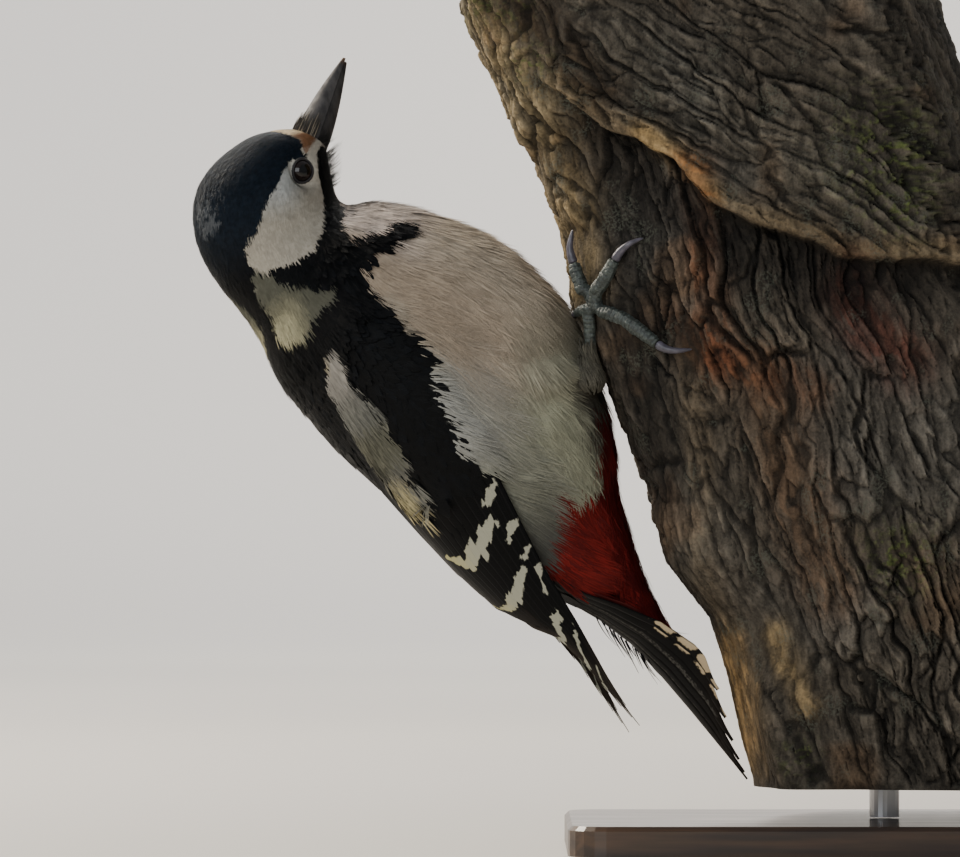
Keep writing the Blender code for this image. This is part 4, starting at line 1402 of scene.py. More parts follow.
    def build(self) -> None:
        """Build the skin and the coat and hide the flesh nodes."""
        material = PlumageFinish().material()
        skin = self.flesh()
        self.unwrap(skin)
        fields = self.describe(skin)
        shape = shape_of(skin.data)
        self.tree = BVHTree.FromBMesh(shape)
        shape.free()
        self.grow(skin, fields, COAT_REGIONS, material)
        for key in ("dark", "ruddy", "pale"):
            set_attribute(skin.data, key, self.skin_marks[key])
        set_attribute(skin.data, "soft", normals_of(skin.data))
        skin.data.materials.append(material)
        skin.data.uv_layers["skin_map"].name = "OFBake"
        self.clean(skin.data)
        finish_piece(skin, "belly_plumage", *self.fleshy)


FACE_TUFT = TuftShape(Tuft.STRANDS, strands=5, strand_width=0.17, variants=4)
SOFT_TUFT = TuftShape(Tuft.STRANDS, strands=8, strand_width=0.10, variants=5)
WISP_TUFT = TuftShape(Tuft.WISP, strands=6, strand_width=0.036, variants=4)
FRINGE_TUFT = TuftShape(Tuft.WISP, strands=8, strand_width=0.040, variants=5, stretch=1.55)
VANE_TUFT = TuftShape(Tuft.VANE, rows=4)


def is_pale(f: dict) -> Array:
    """Return 1 where the plumage isn't black."""
    return (f["dark"] < 0.25).astype(float)


def under_wing(f: dict) -> Array:
    """Return 1 where the folded wing or the back covers the side."""
    return ((f["away"] < read_table(Markings.underparts, f["station"])) & (f["station"] > 12.3)).astype(float)


def open_back(f: dict) -> Array:
    """Return 1 except where the flight feathers cover the bare step behind the wing's front."""
    return 1 - ((f["s"] < -27.5) & (f["away"] > 20) & (under_wing(f) > 0.5))


def flank(f: dict, start: float, end: float) -> Array:
    """Return 1 from one station to another where no wing covers the side."""
    return (f["station"] >= start) * (f["station"] < end) * (1 - under_wing(f))


COAT_REGIONS = (
    CoatRegion("coat_face", FACE_TUFT, 0.00044, "belly_plumage",
               lambda f: (f["station"] < 9.8) * np.maximum(is_pale(f), f["away"] > 95) * (f["away"] < 150), 11),
    CoatRegion("coat_throat", FACE_TUFT, 0.00055, "belly_plumage",
               lambda f: (f["station"] < 9.8) * (f["away"] >= 150), 12),
    CoatRegion("coat_crown", FACE_TUFT, 0.00052, "black_plumage",
               lambda f: (f["station"] < 9.8) * (1 - is_pale(f)) * (f["away"] <= 95), 13),
    CoatRegion("coat_neck", SOFT_TUFT, 0.00078, "black_plumage", lambda f: flank(f, 9.3, 12.9), 14),
    CoatRegion("coat_breast", SOFT_TUFT, 0.00086, "belly_plumage", lambda f: flank(f, 12.4, 15.2), 15),
    CoatRegion("coat_belly", SOFT_TUFT, 0.00092, "belly_plumage", lambda f: flank(f, 14.8, 18.2), 16),
    CoatRegion("coat_vent", SOFT_TUFT, 0.00092, "belly_plumage", lambda f: flank(f, 17.8, 99) * (f["away"] > 42), 17),
    CoatRegion("coat_back", VANE_TUFT, 0.00105, "black_plumage",
               lambda f: (f["station"] >= 9.5) * (1 - is_pale(f)) * open_back(f)
               * np.maximum(under_wing(f), f["station"] < 12.6), 18),
    CoatRegion("coat_scapular", SOFT_TUFT, 0.00085, "belly_plumage",
               lambda f: is_pale(f) * under_wing(f) * open_back(f), 20),
    CoatRegion("coat_scapular_vanes", VANE_TUFT, 0.00105, "belly_plumage",
               lambda f: is_pale(f) * under_wing(f) * open_back(f) * (f["away"] < 62), 22),
    CoatRegion("coat_fringe", FRINGE_TUFT, 0.00095, "belly_plumage",
               lambda f: (f["fringe"] > 0.35) * is_pale(f) * (1 - under_wing(f)), 21),
    CoatRegion("coat_flank_wisps", WISP_TUFT, 0.0021, "belly_plumage",
               lambda f: flank(f, 12, 19.5) * (f["away"] < 175), 19),
)


# ---------------------------------------------------------------- large feathers


@dataclass
class FeatherSet:
    """Collects large feathers, each a thin closed vane, and joins them into one piece."""

    thickness: float = 0.00009

    def __post_init__(self) -> None:
        """Start empty."""
        self.points: list[Array] = []
        self.faces: list[list[int]] = []
        self.fields: dict[str, list[Array]] = {}
        self.uvs: list[Array] = []
        self.count = 0

    def lay(self, rows: int, columns: int, place: Callable[[float, float], tuple], pale: tuple[float, float, float],
            shaft_at: float = 0.5) -> None:
        """Add one feather.

        Args:
            rows: Points from base to tip.
            columns: Points across.
            place: Gives a point, the direction off the body, mm inside a pale spot and the share
                of brown wear, from the shares along (0 to 1) and across (-1 to 1).
            pale: Colour of its spots.
            shaft_at: Share of the width at which its shaft runs.
        """
        size = rows * columns
        steps = [(row / (rows - 1), 2 * column / (columns - 1) - 1) for row in range(rows) for column in range(columns)]
        top, outward, spot, worn = (np.array(part, float) for part in zip(*(place(*step) for step in steps)))
        self.points += [top, top - outward * self.thickness]
        u, v = np.meshgrid(np.linspace(0, 1, columns), np.linspace(0, 1, rows))
        self.uvs += [np.column_stack([u.ravel(), v.ravel()])] * 2
        tones = np.tile([*pale, 1.0], (size, 1))
        for name, values in (("spot", spot), ("worn", worn), ("shaft_at", np.full(size, shaft_at)), ("pale", tones)):
            self.fields.setdefault(name, []).extend([values] * 2)
        corner = self.count + np.arange(size).reshape(rows, columns)
        quads = grid_faces(corner)
        cells = np.stack([quads[:, [0, 3, 2, 1]], quads + size], axis=1).reshape(-1, 4)
        rim = np.concatenate([corner[0], corner[1:, -1], corner[-1, -2::-1], corner[-2:0:-1, 0]])
        after = np.roll(rim, -1)
        self.faces += cells.tolist() + np.column_stack([rim, after, after + size, rim + size]).tolist()
        self.count += 2 * size

    def build(self, name: str, material: Material, slot: str, *nodes: str) -> None:
        """Join the feathers into a piece.

        Args:
            name: The piece's name.
            material: Its finish.
            slot: Its record slot.
            *nodes: CAD nodes that it replaces.
        """
        item = make_object(name, np.concatenate(self.points), self.faces, material)
        face_outward(item.data)
        for key, values in self.fields.items():
            set_attribute(item.data, key, np.concatenate(values))
        set_uv(item.data, "vane", np.concatenate(self.uvs))
        self.lay_atlas(item.data)
        finish_piece(item, slot, *nodes)

    def lay_atlas(self, mesh: Mesh) -> None:
        """Give every feather its own cell of the OFBake map."""
        cells = math.ceil(math.sqrt(len(self.uvs) / 2))
        laid = []
        for number, local in enumerate(self.uvs):
            cell = number // 2
            origin = np.array([cell % cells, cell // cells]) + 0.06
            laid.append((origin + local * 0.88) / cells)
        set_uv(mesh, "OFBake", np.concatenate(laid))


@dataclass(frozen=True)
class FoldedWing:
    """Flight feathers of one folded wing, laid side by side from back to belly edge."""

    # s, belly edge h, back edge h, thickness, in mm
    outline: tuple = (
        (31, 4, 11, 1.6), (28, 1, 14.5, 2.4), (20, -1.6, 19, 2.8), (10, -1, 23.2, 2.8), (-2, 0.8, 27, 2.6),
        (-15, 2, 28.8, 2.4), (-30, 4.8, 29, 2), (-45, 8.4, 28.6, 1.6), (-58, 11.4, 27.2, 1.4),
        (-68, 12.7, 24.2, 1.2), (-74, 13.5, 20.6, 1), (-84, 15.4, 19.8, 0.9), (-90, 16.6, 20.2, 0.9),
        (-101, 17.8, 20, 0.8), (-106, 18.3, 19.2, 0.6),
    )
    # s, centre h, half height, half width of the oval under the wings
    bed: tuple = (
        (36, 1.2, 32.2, 24.4), (20, -0.4, 34.8, 26.9), (8, -2.2, 36.4, 27.6), (-6, -2.8, 36, 27.5),
        (-20, -2, 33.2, 26.2), (-32, 0.2, 29.6, 23.9), (-45, 3.4, 25.6, 21.1), (-60, 7, 20.4, 17.8),
        (-75, 9, 15.2, 15.2), (-90, 9.6, 12.8, 13), (-108, 10, 10.4, 11),
    )
    tips: tuple = (-47, -55, -62, -66.5, -69, -70.5, -76, -82, -88, -94, -99, -103, -106, -99.5)
    inner: int = 6                     # tertials and secondaries; the rest are primaries
    base: float = -8
    left_lift: float = 3.4             # how much higher the far wing's tip lies, mm
    left_wear: float = 0.45
    rows: int = 72
    columns: int = 9
    tip_start: float = -62
    # pale bars, each rows of (v, s at its middle, half length), v being the share of the
    # width from the belly edge
    bars: tuple = (
        ((0.02, -32.5, 1.6), (0.10, -33.2, 2.4), (0.18, -34.6, 1)),
        ((0.16, -39.2, 1.2), (0.30, -41, 2.9), (0.43, -42.3, 3.2), (0.55, -43.1, 3), (0.66, -43, 2.4),
         (0.76, -41.2, 2), (0.86, -39, 0.8)),
        ((0, -43.6, 1.2), (0.08, -44.4, 2), (0.15, -45.6, 1.2)),
        ((0, -50, 0.8), (0.08, -51, 1.4), (0.13, -51.6, 0.9)),
        ((0.16, -54.8, 1.2), (0.30, -56.4, 2.4), (0.45, -57.6, 2.3), (0.60, -59.2, 2), (0.76, -59, 1.4),
         (0.88, -57, 0.6)),
        ((0, -57.2, 1.6), (0.07, -58.6, 2.1), (0.13, -62, 1.6)),
        ((0.18, -68.2, 1.2), (0.34, -69.8, 2), (0.50, -71.4, 1.6), (0.68, -74.6, 1.8), (0.9, -76, 1)),
        ((0.14, -75.4, 1), (0.32, -76.8, 1.9), (0.44, -79, 1.4), (0.56, -84, 2.2), (0.7, -86, 1.2)),
        ((0.2, -85.5, 1.2), (0.4, -91.5, 1.4), (0.7, -95, 1)),
    )

    def point(self, bird: BirdFrame, side: float, s: float, v: float, lift: float) -> Vector:
        """Return a point over the wing's bed.

        Args:
            bird: The bird's frame.
            side: 1 for left, -1 for right.
            s: Place along the bird, mm.
            v: Share of the width from the belly edge.
            lift: Height over the bed, mm.

        Returns:
            The world point.
        """
        belly, back = read_table(self.outline, s, 1), read_table(self.outline, s, 2)
        middle, half_h, half_w = (read_table(self.bed, s, c) for c in (1, 2, 3))
        start = math.asin(max(-1, min(1, (belly - middle) / half_h)))
        end = math.asin(max(-1, min(0.995, (back - middle) / half_h)))
        angle = start + (end - start) * v
        raised = 0
        if side > 0 and s < self.tip_start:
            raised = self.left_lift * ((self.tip_start - s) / (self.tip_start + 106)) ** 1.5
        y = side * (half_w + lift) * math.cos(angle)
        return bird.place(s, y, middle + (half_h + lift) * math.sin(angle) + raised)

    def middle(self, number: int, s: float) -> tuple[float, float]:
        """Return a feather's middle and half width, in shares of the wing's width, at s.

        Args:
            number: The feather's number.
            s: Place along the bird, mm.

        Returns:
            The middle and the half width.
        """
        count = len(self.tips)
        folded = 1 - (number + 0.5) / count
        half = 1.5 / count
        if number < self.inner:
            gather = float(smooth(-s, 52, 70))
            return folded + 0.10 * gather * (1 - folded), half
        primaries = count - self.inner
        spread = 1 - (number - self.inner + 0.5) / primaries
        share = float(smooth(-s, 52, 84))
        return folded + (spread - folded) * share, half + (1.3 / primaries - half) * share

    def lift(self, number: int, s: float, v: float) -> float:
        """Return a feather's height over the bed in mm, the inner ones lying on the outer."""
        thick = float(read_table(self.outline, s, 3))
        top = thick * (0.35 + 0.65 * math.sin(math.pi * min(0.99, max(0.01, v))) ** 0.6) - 0.10
        covered = float(smooth(s, -36, -27))
        floor = max(0.2, (top - 0.85) * covered + 0.2 * (1 - covered))
        return floor + max(0.1, top - floor) * (1 - number / (len(self.tips) - 1))

    def inside_bars(self, s: float, v: float, shifts: Sequence[float]) -> float:
        """Return mm inside the nearest pale bar, negative outside."""
        best = -9
        for bar, shift in zip(self.bars, shifts):
            middle, half = float(read_table(bar, v, 1)), float(read_table(bar, v, 2))
            ends = min(v - bar[0][0] + 0.03, bar[-1][0] + 0.03 - v) * 22
            best = max(best, min(half * 0.92 - abs(s - middle - shift), ends))
        return best

    def build(self, bird: BirdFrame, side: float, name: str, material: Material) -> None:
        """Build one wing.

        Args:
            bird: The bird's frame.
            side: 1 for left, -1 for right.
            name: The CAD node that it replaces.
            material: Its finish.
        """
        feathers, chance = FeatherSet(), random.Random(name)
        worn_side = self.left_wear if side > 0 else 0.0
        for number, tip in enumerate(self.tips):
            base = self.base - 3 * (number % 3)
            shifts = [chance.uniform(-1.1, 1.1) for _ in self.bars]
            narrows, power, wear = (0.76, 1.5, 0.85) if number >= self.inner else (0.86, 1.7, 0.3)

            def place(t: float, x: float) -> tuple:
                """Return one point's place, outward direction, mm inside a bar and wear."""
                s = base + (tip - base) * t
                mid, half = self.middle(number, s)
                end = 1 - float(smooth(t, narrows, 1)) ** power * 0.93
                v = min(1.05, max(-0.03, mid + x * half * end))
                lift = self.lift(number, s, v) + 0.10 * (1 - x * x) * end + 0.05 * x
                here = self.point(bird, side, s, v, lift)
                out = np.array(self.point(bird, side, s, v, lift + 1) - here) / MM
                # a bar runs on each vane as a notch that slants towards the tip at the shaft
                off_shaft = abs(x + 0.3)
                inside = self.inside_bars(s + 1.3 * (1 - off_shaft) - 0.6, v, shifts)
                inside -= 0.35 * abs(math.sin(9 * v + 2.1 * number))
                spot = min(inside, 2.4 * off_shaft + 0.25, 1.9 - 1.4 * max(0, x - 0.2))
                return here, out, spot, smooth(t, 0.72, 1) * wear + worn_side

            cream = smooth(1 - number / len(self.tips), 0.55, 1)
            pale = (0.36 + cream * 0.10, 0.355 + cream * 0.07, 0.28 - cream * 0.07)
            feathers.lay(self.rows, self.columns, place, pale, 0.35)
        feathers.build("feathers_" + name, material, "black_plumage", name)


@dataclass(frozen=True)
class TailFan:
    """The stiff tail feathers, the middle pair on top and the barred outer ones below."""

    # s, back h at the middle, half width, droop of the outer feathers, in mm
    outline: tuple = (
        (-62, 13, 9, 2), (-70, 11.2, 11, 3), (-78, 8.4, 13.2, 5), (-88, 6.2, 15.6, 8), (-100, 5.6, 17.4, 10.6),
        (-112, 5.6, 17.2, 10.4), (-122, 5.8, 14, 7.2), (-130, 6, 8.6, 3), (-135.6, 6.2, 3, 0.5),
    )
    # side of the middle, tip s and share of white, for the feathers of one half
    half: tuple = (
        (0.07, -135.6, 0), (0.22, -133.6, 0), (0.38, -130, 0), (0.56, -125, 0), (0.74, -119, 0.35), (0.92, -112, 1),
    )
    base: float = -66
    widest: float = -106
    white: tuple = (0.52, 0.41, 0.26)
    sheen: tuple = (0.085, 0.080, 0.070)
    covert: tuple = (0.060, 0.009, 0.008)
    rows: int = 64
    columns: int = 9

    def point(self, bird: BirdFrame, s: float, x: float, lift: float) -> Vector:
        """Return a point of the fan's upper side, x being -1 to 1 across and lift in mm."""
        top, width, droop = (float(read_table(self.outline, s, c)) for c in (1, 2, 3))
        return bird.place(s, x * width, top - droop * abs(x) ** 1.7 + lift)

    def build(self, bird: BirdFrame, material: Material) -> None:
        """Build the tail.

        Args:
            bird: The bird's frame.
            material: Its finish.
        """
        feathers = FeatherSet(thickness=0.00014)
        for side in (1, -1):
            for number, (middle, tip, white) in enumerate(self.half):

                def place(t: float, x: float) -> tuple:
                    """Return one point's place, outward direction, mm inside a spot and wear."""
                    s = self.base + (tip - self.base) * t
                    # widths and places are held in mm behind the widest part, so vanes keep their shape
                    widths = [float(read_table(self.outline, at, 2)) for at in (max(s, self.widest), s)]
                    hold = widths[0] / widths[1]
                    half = 0.10 + (0.13 - 0.008 * number) * smooth(t, 0, 0.5)
                    half = half * (1 - smooth(t, 0.70, 1) ** 1.2 * 0.9) * hold
                    centre = middle * side * (1 - 0.10 * t) * min(1 / max(middle, 0.35), hold) ** 0.6
                    across = max(-1, min(1, max(-0.97, min(0.97, centre)) + x * half))
                    lift = -0.26 * number + 0.22 * (1 - x * x) - 0.10 * x * side
                    here = self.point(bird, s, across, lift)
                    out = np.array(self.point(bird, s, across, lift + 1) - here) / MM
                    bars = 1.2 * math.sin((s + 1.5 * abs(x)) * 2 * math.pi / 7) + 0.25 + 0.5 * white
                    outer = 2.6 * (x * side - 0.98 + 0.62 * white)
                    streak = 0.30 - abs(x * side - 0.35) * 2.6 if number in (1, 3) and -118 < s < -72 else -5
                    spot = min(bars, outer, (-86 - s) * 0.5) if white else streak
                    return here, out, spot, smooth(t, 0.6, 1) * 0.25

                feathers.lay(self.rows, self.columns, place, self.white if white else self.sheen)
        # dark red coverts under the fan's base close the step between it and the body
        back = bird.axes()[2]
        for middle in np.linspace(-0.86, 0.86, 11):

            def under(t: float, x: float) -> tuple:
                """Return the same for one covert."""
                s = -62 - 22 * t
                half = 0.17 * np.sin(np.clip((-60 - s) / 25, 0, 1) * math.pi) ** 0.6
                return self.point(bird, s, max(-0.98, min(0.98, middle + x * half)), -2.1 - 0.5 * abs(x)), back, 1, 0

            feathers.lay(12, 5, under, self.covert)
        feathers.build("feathers_tail", material, "black_plumage", "tail")


# ---------------------------------------------------------------- head's hard parts


@dataclass(frozen=True)
class Bill:
    """Straight chisel bill with a ridged upper half."""

    length: float = 25
    width: float = 8.6
    height: float = 9.4
    chisel: float = 1.1
    inset: float = -2
    rows: int = 40
    sides: int = 22

    def half(self, bird: BirdFrame, upper: bool, name: str, material: Material) -> None:
        """Build one half of the bill.

        Args:
            bird: The bird's frame.
            upper: Whether it is the upper half.
            name: The CAD node that it replaces.
            material: Its finish.
        """
        base, forward, up, right = bird.head_rows()
        sign = 1 if upper else -1
        reach = self.length if upper else self.length * 0.965
        points, along = [], []
        for row in range(self.rows + 1):
            d = self.inset + (reach - self.inset) * row / self.rows
            t = max(0, d / self.length)
            narrowing = 1 - 0.87 * t ** 1.6
            height = self.height / 2 * narrowing
            half_width = max(self.chisel / 2, self.width / 2 * narrowing * (1 - 0.35 * t))
            for k in range(self.sides):
                angle = math.pi * k / (self.sides - 1)
                x = math.copysign(abs(math.cos(angle)) ** 0.86, math.cos(angle))
                ridge = 0.05 * math.exp(-((angle - math.pi / 2) / 0.16) ** 2)
                shelf = 0.035 * math.exp(-((abs(angle - math.pi / 2) - 0.95) / 0.16) ** 2) * (1 - t) if upper else 0
                y = math.sin(angle) ** 0.84 + ridge
                offset = right * (half_width * (x * (1 + shelf))) + up * (sign * (0.06 + height * y))
                points.append(base + (forward * d + offset) * MM)
                along.append(t)
        item = make_tube(name + "_horn", np.array(points).reshape(-1, self.sides, 3), material)
        item.data.set_sharp_from_angle(angle=math.radians(60))
        along = np.array(along)
        tone = (1.05 if upper else 0.62) * (1 - 0.35 * smooth(along, 0.80, 0.97))
        tone = tone * (0.62 + 0.38 * smooth(along, 0, 0.35))
        brown = smooth(along, 0.90, 1)
        set_attribute(item.data, "depth", np.zeros(len(points)))
        tints = (1 + 0.9 * brown, 0.98 + 0.12 * brown, 0.97 - 0.35 * brown)
        set_tone(item.data, "tone", np.column_stack([tone * tint for tint in tints]))
        finish_piece(item, "bill_horn", name)

    def build(self, bird: BirdFrame) -> None:
        """Build both halves."""
        horn = MottledFinish("bill_horn_finish", (0.095, 0.092, 0.092, 1), (0.045, 0.044, 0.046, 1), 0.55, 500,
                             (1, 1, 0.35), 0.00006, depth=True, specular=0.16).material()
        self.half(bird, True, "bill_upper", horn)
        self.half(bird, False, "bill_lower", horn)


@dataclass(frozen=True)
class EyeFinish:
    """Wet dark eye whose iris and pupil follow the stored distance from its axis, in mm."""

    pupil: float = 1.55
    iris: float = 2.75

    def material(self) -> Material:
        """Return the finish as a material."""
        material, n = new_material("eye_finish")
        off = n.attribute("off_axis")
        iris = n.blend(n.noise(900), (0.014, 0.007, 0.006, 1), (0.007, 0.004, 0.004, 1))
        base = n.blend(n.between(off, self.pupil - 0.1, self.pupil + 0.1), (0.002, 0.002, 0.002, 1), iris)
        base = n.blend(n.between(off, self.iris - 0.2, self.iris + 0.1), base, (0.006, 0.005, 0.005, 1))
        return dress(material, Base_Color=base, Roughness=0.12, Specular_IOR_Level=0.1, Coat_Weight=0.6,
                     Coat_Roughness=0.06)


@dataclass(frozen=True)
class Eyes:
    """Both eyeballs, with a bulging cornea."""

    radius: float = 3.95
    cornea: float = 0.28
    rings: int = 26
    sides: int = 40

    def build(self, plumage: "Plumage") -> None:
        """Build both eyes.

        Args:
            plumage: The skin, which knows where they are.
        """
        finish = EyeFinish().material()
        for (centre, out), name in zip(plumage.eye_axes(), ("eye_right", "eye_left")):
            side = unit(np.cross(out, [0, 0, 1]))
            up = np.cross(side, out)
            points, off_axis = [], []
            for ring in range(self.rings):
                angle = math.pi * (0.004 + 0.992 * ring / (self.rings - 1))
                radius = self.radius + self.cornea * math.exp(-(angle / 0.62) ** 4)
                for k in range(self.sides):
                    spoke = side * math.cos(2 * math.pi * k / self.sides) + up * math.sin(2 * math.pi * k / self.sides)
                    points.append(centre + (out * math.cos(angle) + spoke * math.sin(angle)) * radius * MM)
                    off_axis.append(radius * math.sin(angle) if angle < math.pi / 2 else 9)
            item = make_tube(name + "_ball", np.array(points).reshape(-1, self.sides, 3), finish)
            set_attribute(item.data, "off_axis", np.array(off_axis))
            finish_piece(item, "eye", name)


@dataclass(frozen=True)
class Bristles:
    """Fine bristles over the nostrils, round the chin and hanging loose at the tail's root."""

    def build(self, bird: BirdFrame, tree: BVHTree, material: Material) -> None:
        """Build all of them as one piece.

        Args:
            bird: The bird's frame.
            tree: Search tree of the skin.
            material: Their finish.
        """
        base, forward, up, right = bird.head_rows()
        chance = random.Random(7)
        feathers = FeatherSet(thickness=0.00004)

        def bristle(root: Array, heading: Array, curl: Array, length: float, half: float, tone: tuple) -> None:
            """Add one bristle."""
            side = unit(np.cross(heading, [0.2, -1, 0.1]))
            out = unit(np.cross(side, heading))

            def place(t: float, x: float) -> tuple:
                """Return one point's place and outward direction, all of it pale and unworn."""
                middle = root + (heading * t + curl * t * t) * length * MM
                return middle + side * (half * (1 - 0.85 * t) * MM * x), out, 3, 0

            feathers.lay(7, 2, place, tone)

        for side in (1, -1):
            for _ in range(150):                                  # nostril bristles, lying forward along the bill
                turn = math.radians(chance.uniform(12, 90))
                outward = right * side * math.cos(turn) + up * math.sin(turn)
                round_bill = right * side * 4.2 * math.cos(turn) + up * 4.7 * math.sin(turn)
                root = forward * chance.uniform(-3, 0.2) + round_bill + outward * chance.uniform(0, 0.9)
                heading = unit(forward + outward * chance.uniform(0.02, 0.20))
                light = chance.random()
                tone = (0.36, 0.30, 0.22) if light > 0.72 else (0.060, 0.055, 0.050)
                bristle(base + root * MM, heading, -outward * 0.14, chance.uniform(3, 6.8), 0.13, tone)
            for _ in range(50):                                   # rictal bristles beside the gape
                root = forward * -1 + up * chance.uniform(-3.2, 0.4) + right * side * chance.uniform(3, 4.4)
                heading = unit(forward + right * side * 0.30 + up * chance.uniform(-0.5, 0.1))
                bristle(base + root * MM, heading, -up * 0.1, chance.uniform(2, 4.2), 0.08, (0.02, 0.02, 0.02))
        for _ in range(440):                                      # chin and malar stripe
            back = chance.uniform(0, 12)
            root = base + (forward * -(1 + back) + up * -3.6 + right * chance.uniform(-4.6, 4.6)) * MM
            spot, normal, _, _ = tree.find_nearest(Vector(root - up * 0.003))
            heading = unit(forward * (0.75 - 0.05 * back) + np.array(normal) * 0.75 + right * chance.uniform(-0.3, 0.3))
            tone = (0.30, 0.28, 0.26) if chance.random() > 0.8 else (0.018, 0.018, 0.019)
            bristle(np.array(spot), heading, forward * 0.3, chance.uniform(2, 5.2) * (1 - 0.045 * back), 0.050, tone)
        forward_s, _, back_way = (np.array(axis) for axis in bird.axes())
        for k in range(16):                                       # loose barbs at the tail's root
            s = -77 - 1.1 * k + chance.uniform(-0.8, 0.8)
            root = np.array(bird.place(s, -6.6 + chance.uniform(-1.5, 1.5), 8.2 + 0.18 * (s + 79)))
            heading = unit(back_way * chance.uniform(0.20, 0.42) - forward_s)
            curl, length, half = -back_way * chance.uniform(0, 0.25), chance.uniform(5, 11), chance.uniform(0.14, 0.30)
            bristle(root, heading, curl, length, half, (0.006, 0.006, 0.007))
        feathers.build("bristles", material, "black_plumage")


# ---------------------------------------------------------------- feet


@dataclass(frozen=True)
class Trousers:
    """Soft feathers that close round the upper part of each shank."""

    count: int = 420
    tone: tuple = (0.105, 0.098, 0.078)

    def build(self, material: Material) -> None:
        """Build both sides as one piece.

        Args:
            material: Their finish.
        """
        feathers, chance = FeatherSet(thickness=0.00004), random.Random(23)
        for side in ("right", "left"):
            shank = points_of(frame["nodes"]["tarsus_" + side].data)
            middle = shank.mean(axis=0)
            along = np.linalg.svd(shank - middle, full_matrices=False)[2][0]
            along *= np.sign(along[2])
            heel = middle + along * ((shank - middle) @ along).min()
            one = unit(np.cross(along, [0.1, 1, 0.2]))
            two = np.cross(along, one)
            for _ in range(self.count):
                turn, place = chance.uniform(0, 2 * math.pi), chance.uniform(-0.0045, 0.0052)
                out = one * math.cos(turn) + two * math.sin(turn)
                length = chance.uniform(0.0035, 0.0062)
                half = chance.uniform(0.00014, 0.00034)
                wide = unit(np.cross(along, out))
                drift = wide * chance.uniform(-0.3, 0.3) - np.array([0.18, 0, 0])

                def put(t: float, x: float) -> tuple:
                    """Return one point's place and outward direction, all of it pale and unworn."""
                    up = place + length * t
                    # thick over the heel, closing on the shank at the top and the bottom
                    radius = 0.0019 + 0.0020 * math.exp(-((up + 0.001) / 0.0042) ** 2)
                    radius = radius - 0.0010 * fall(up, -0.005, -0.001)
                    middle = heel + along * up + drift * (length * t) + out * radius
                    width = half * math.sin(math.pi * (0.12 + 0.80 * t)) ** 0.7
                    return middle + wide * (width * x) + out * (0.00008 * (x == 0)), out, 3, 0

                shade = chance.uniform(0.6, 1.25)
                feathers.lay(6, 3, put, tuple(c * shade for c in self.tone))
        feathers.build("trousers", material, "belly_plumage")


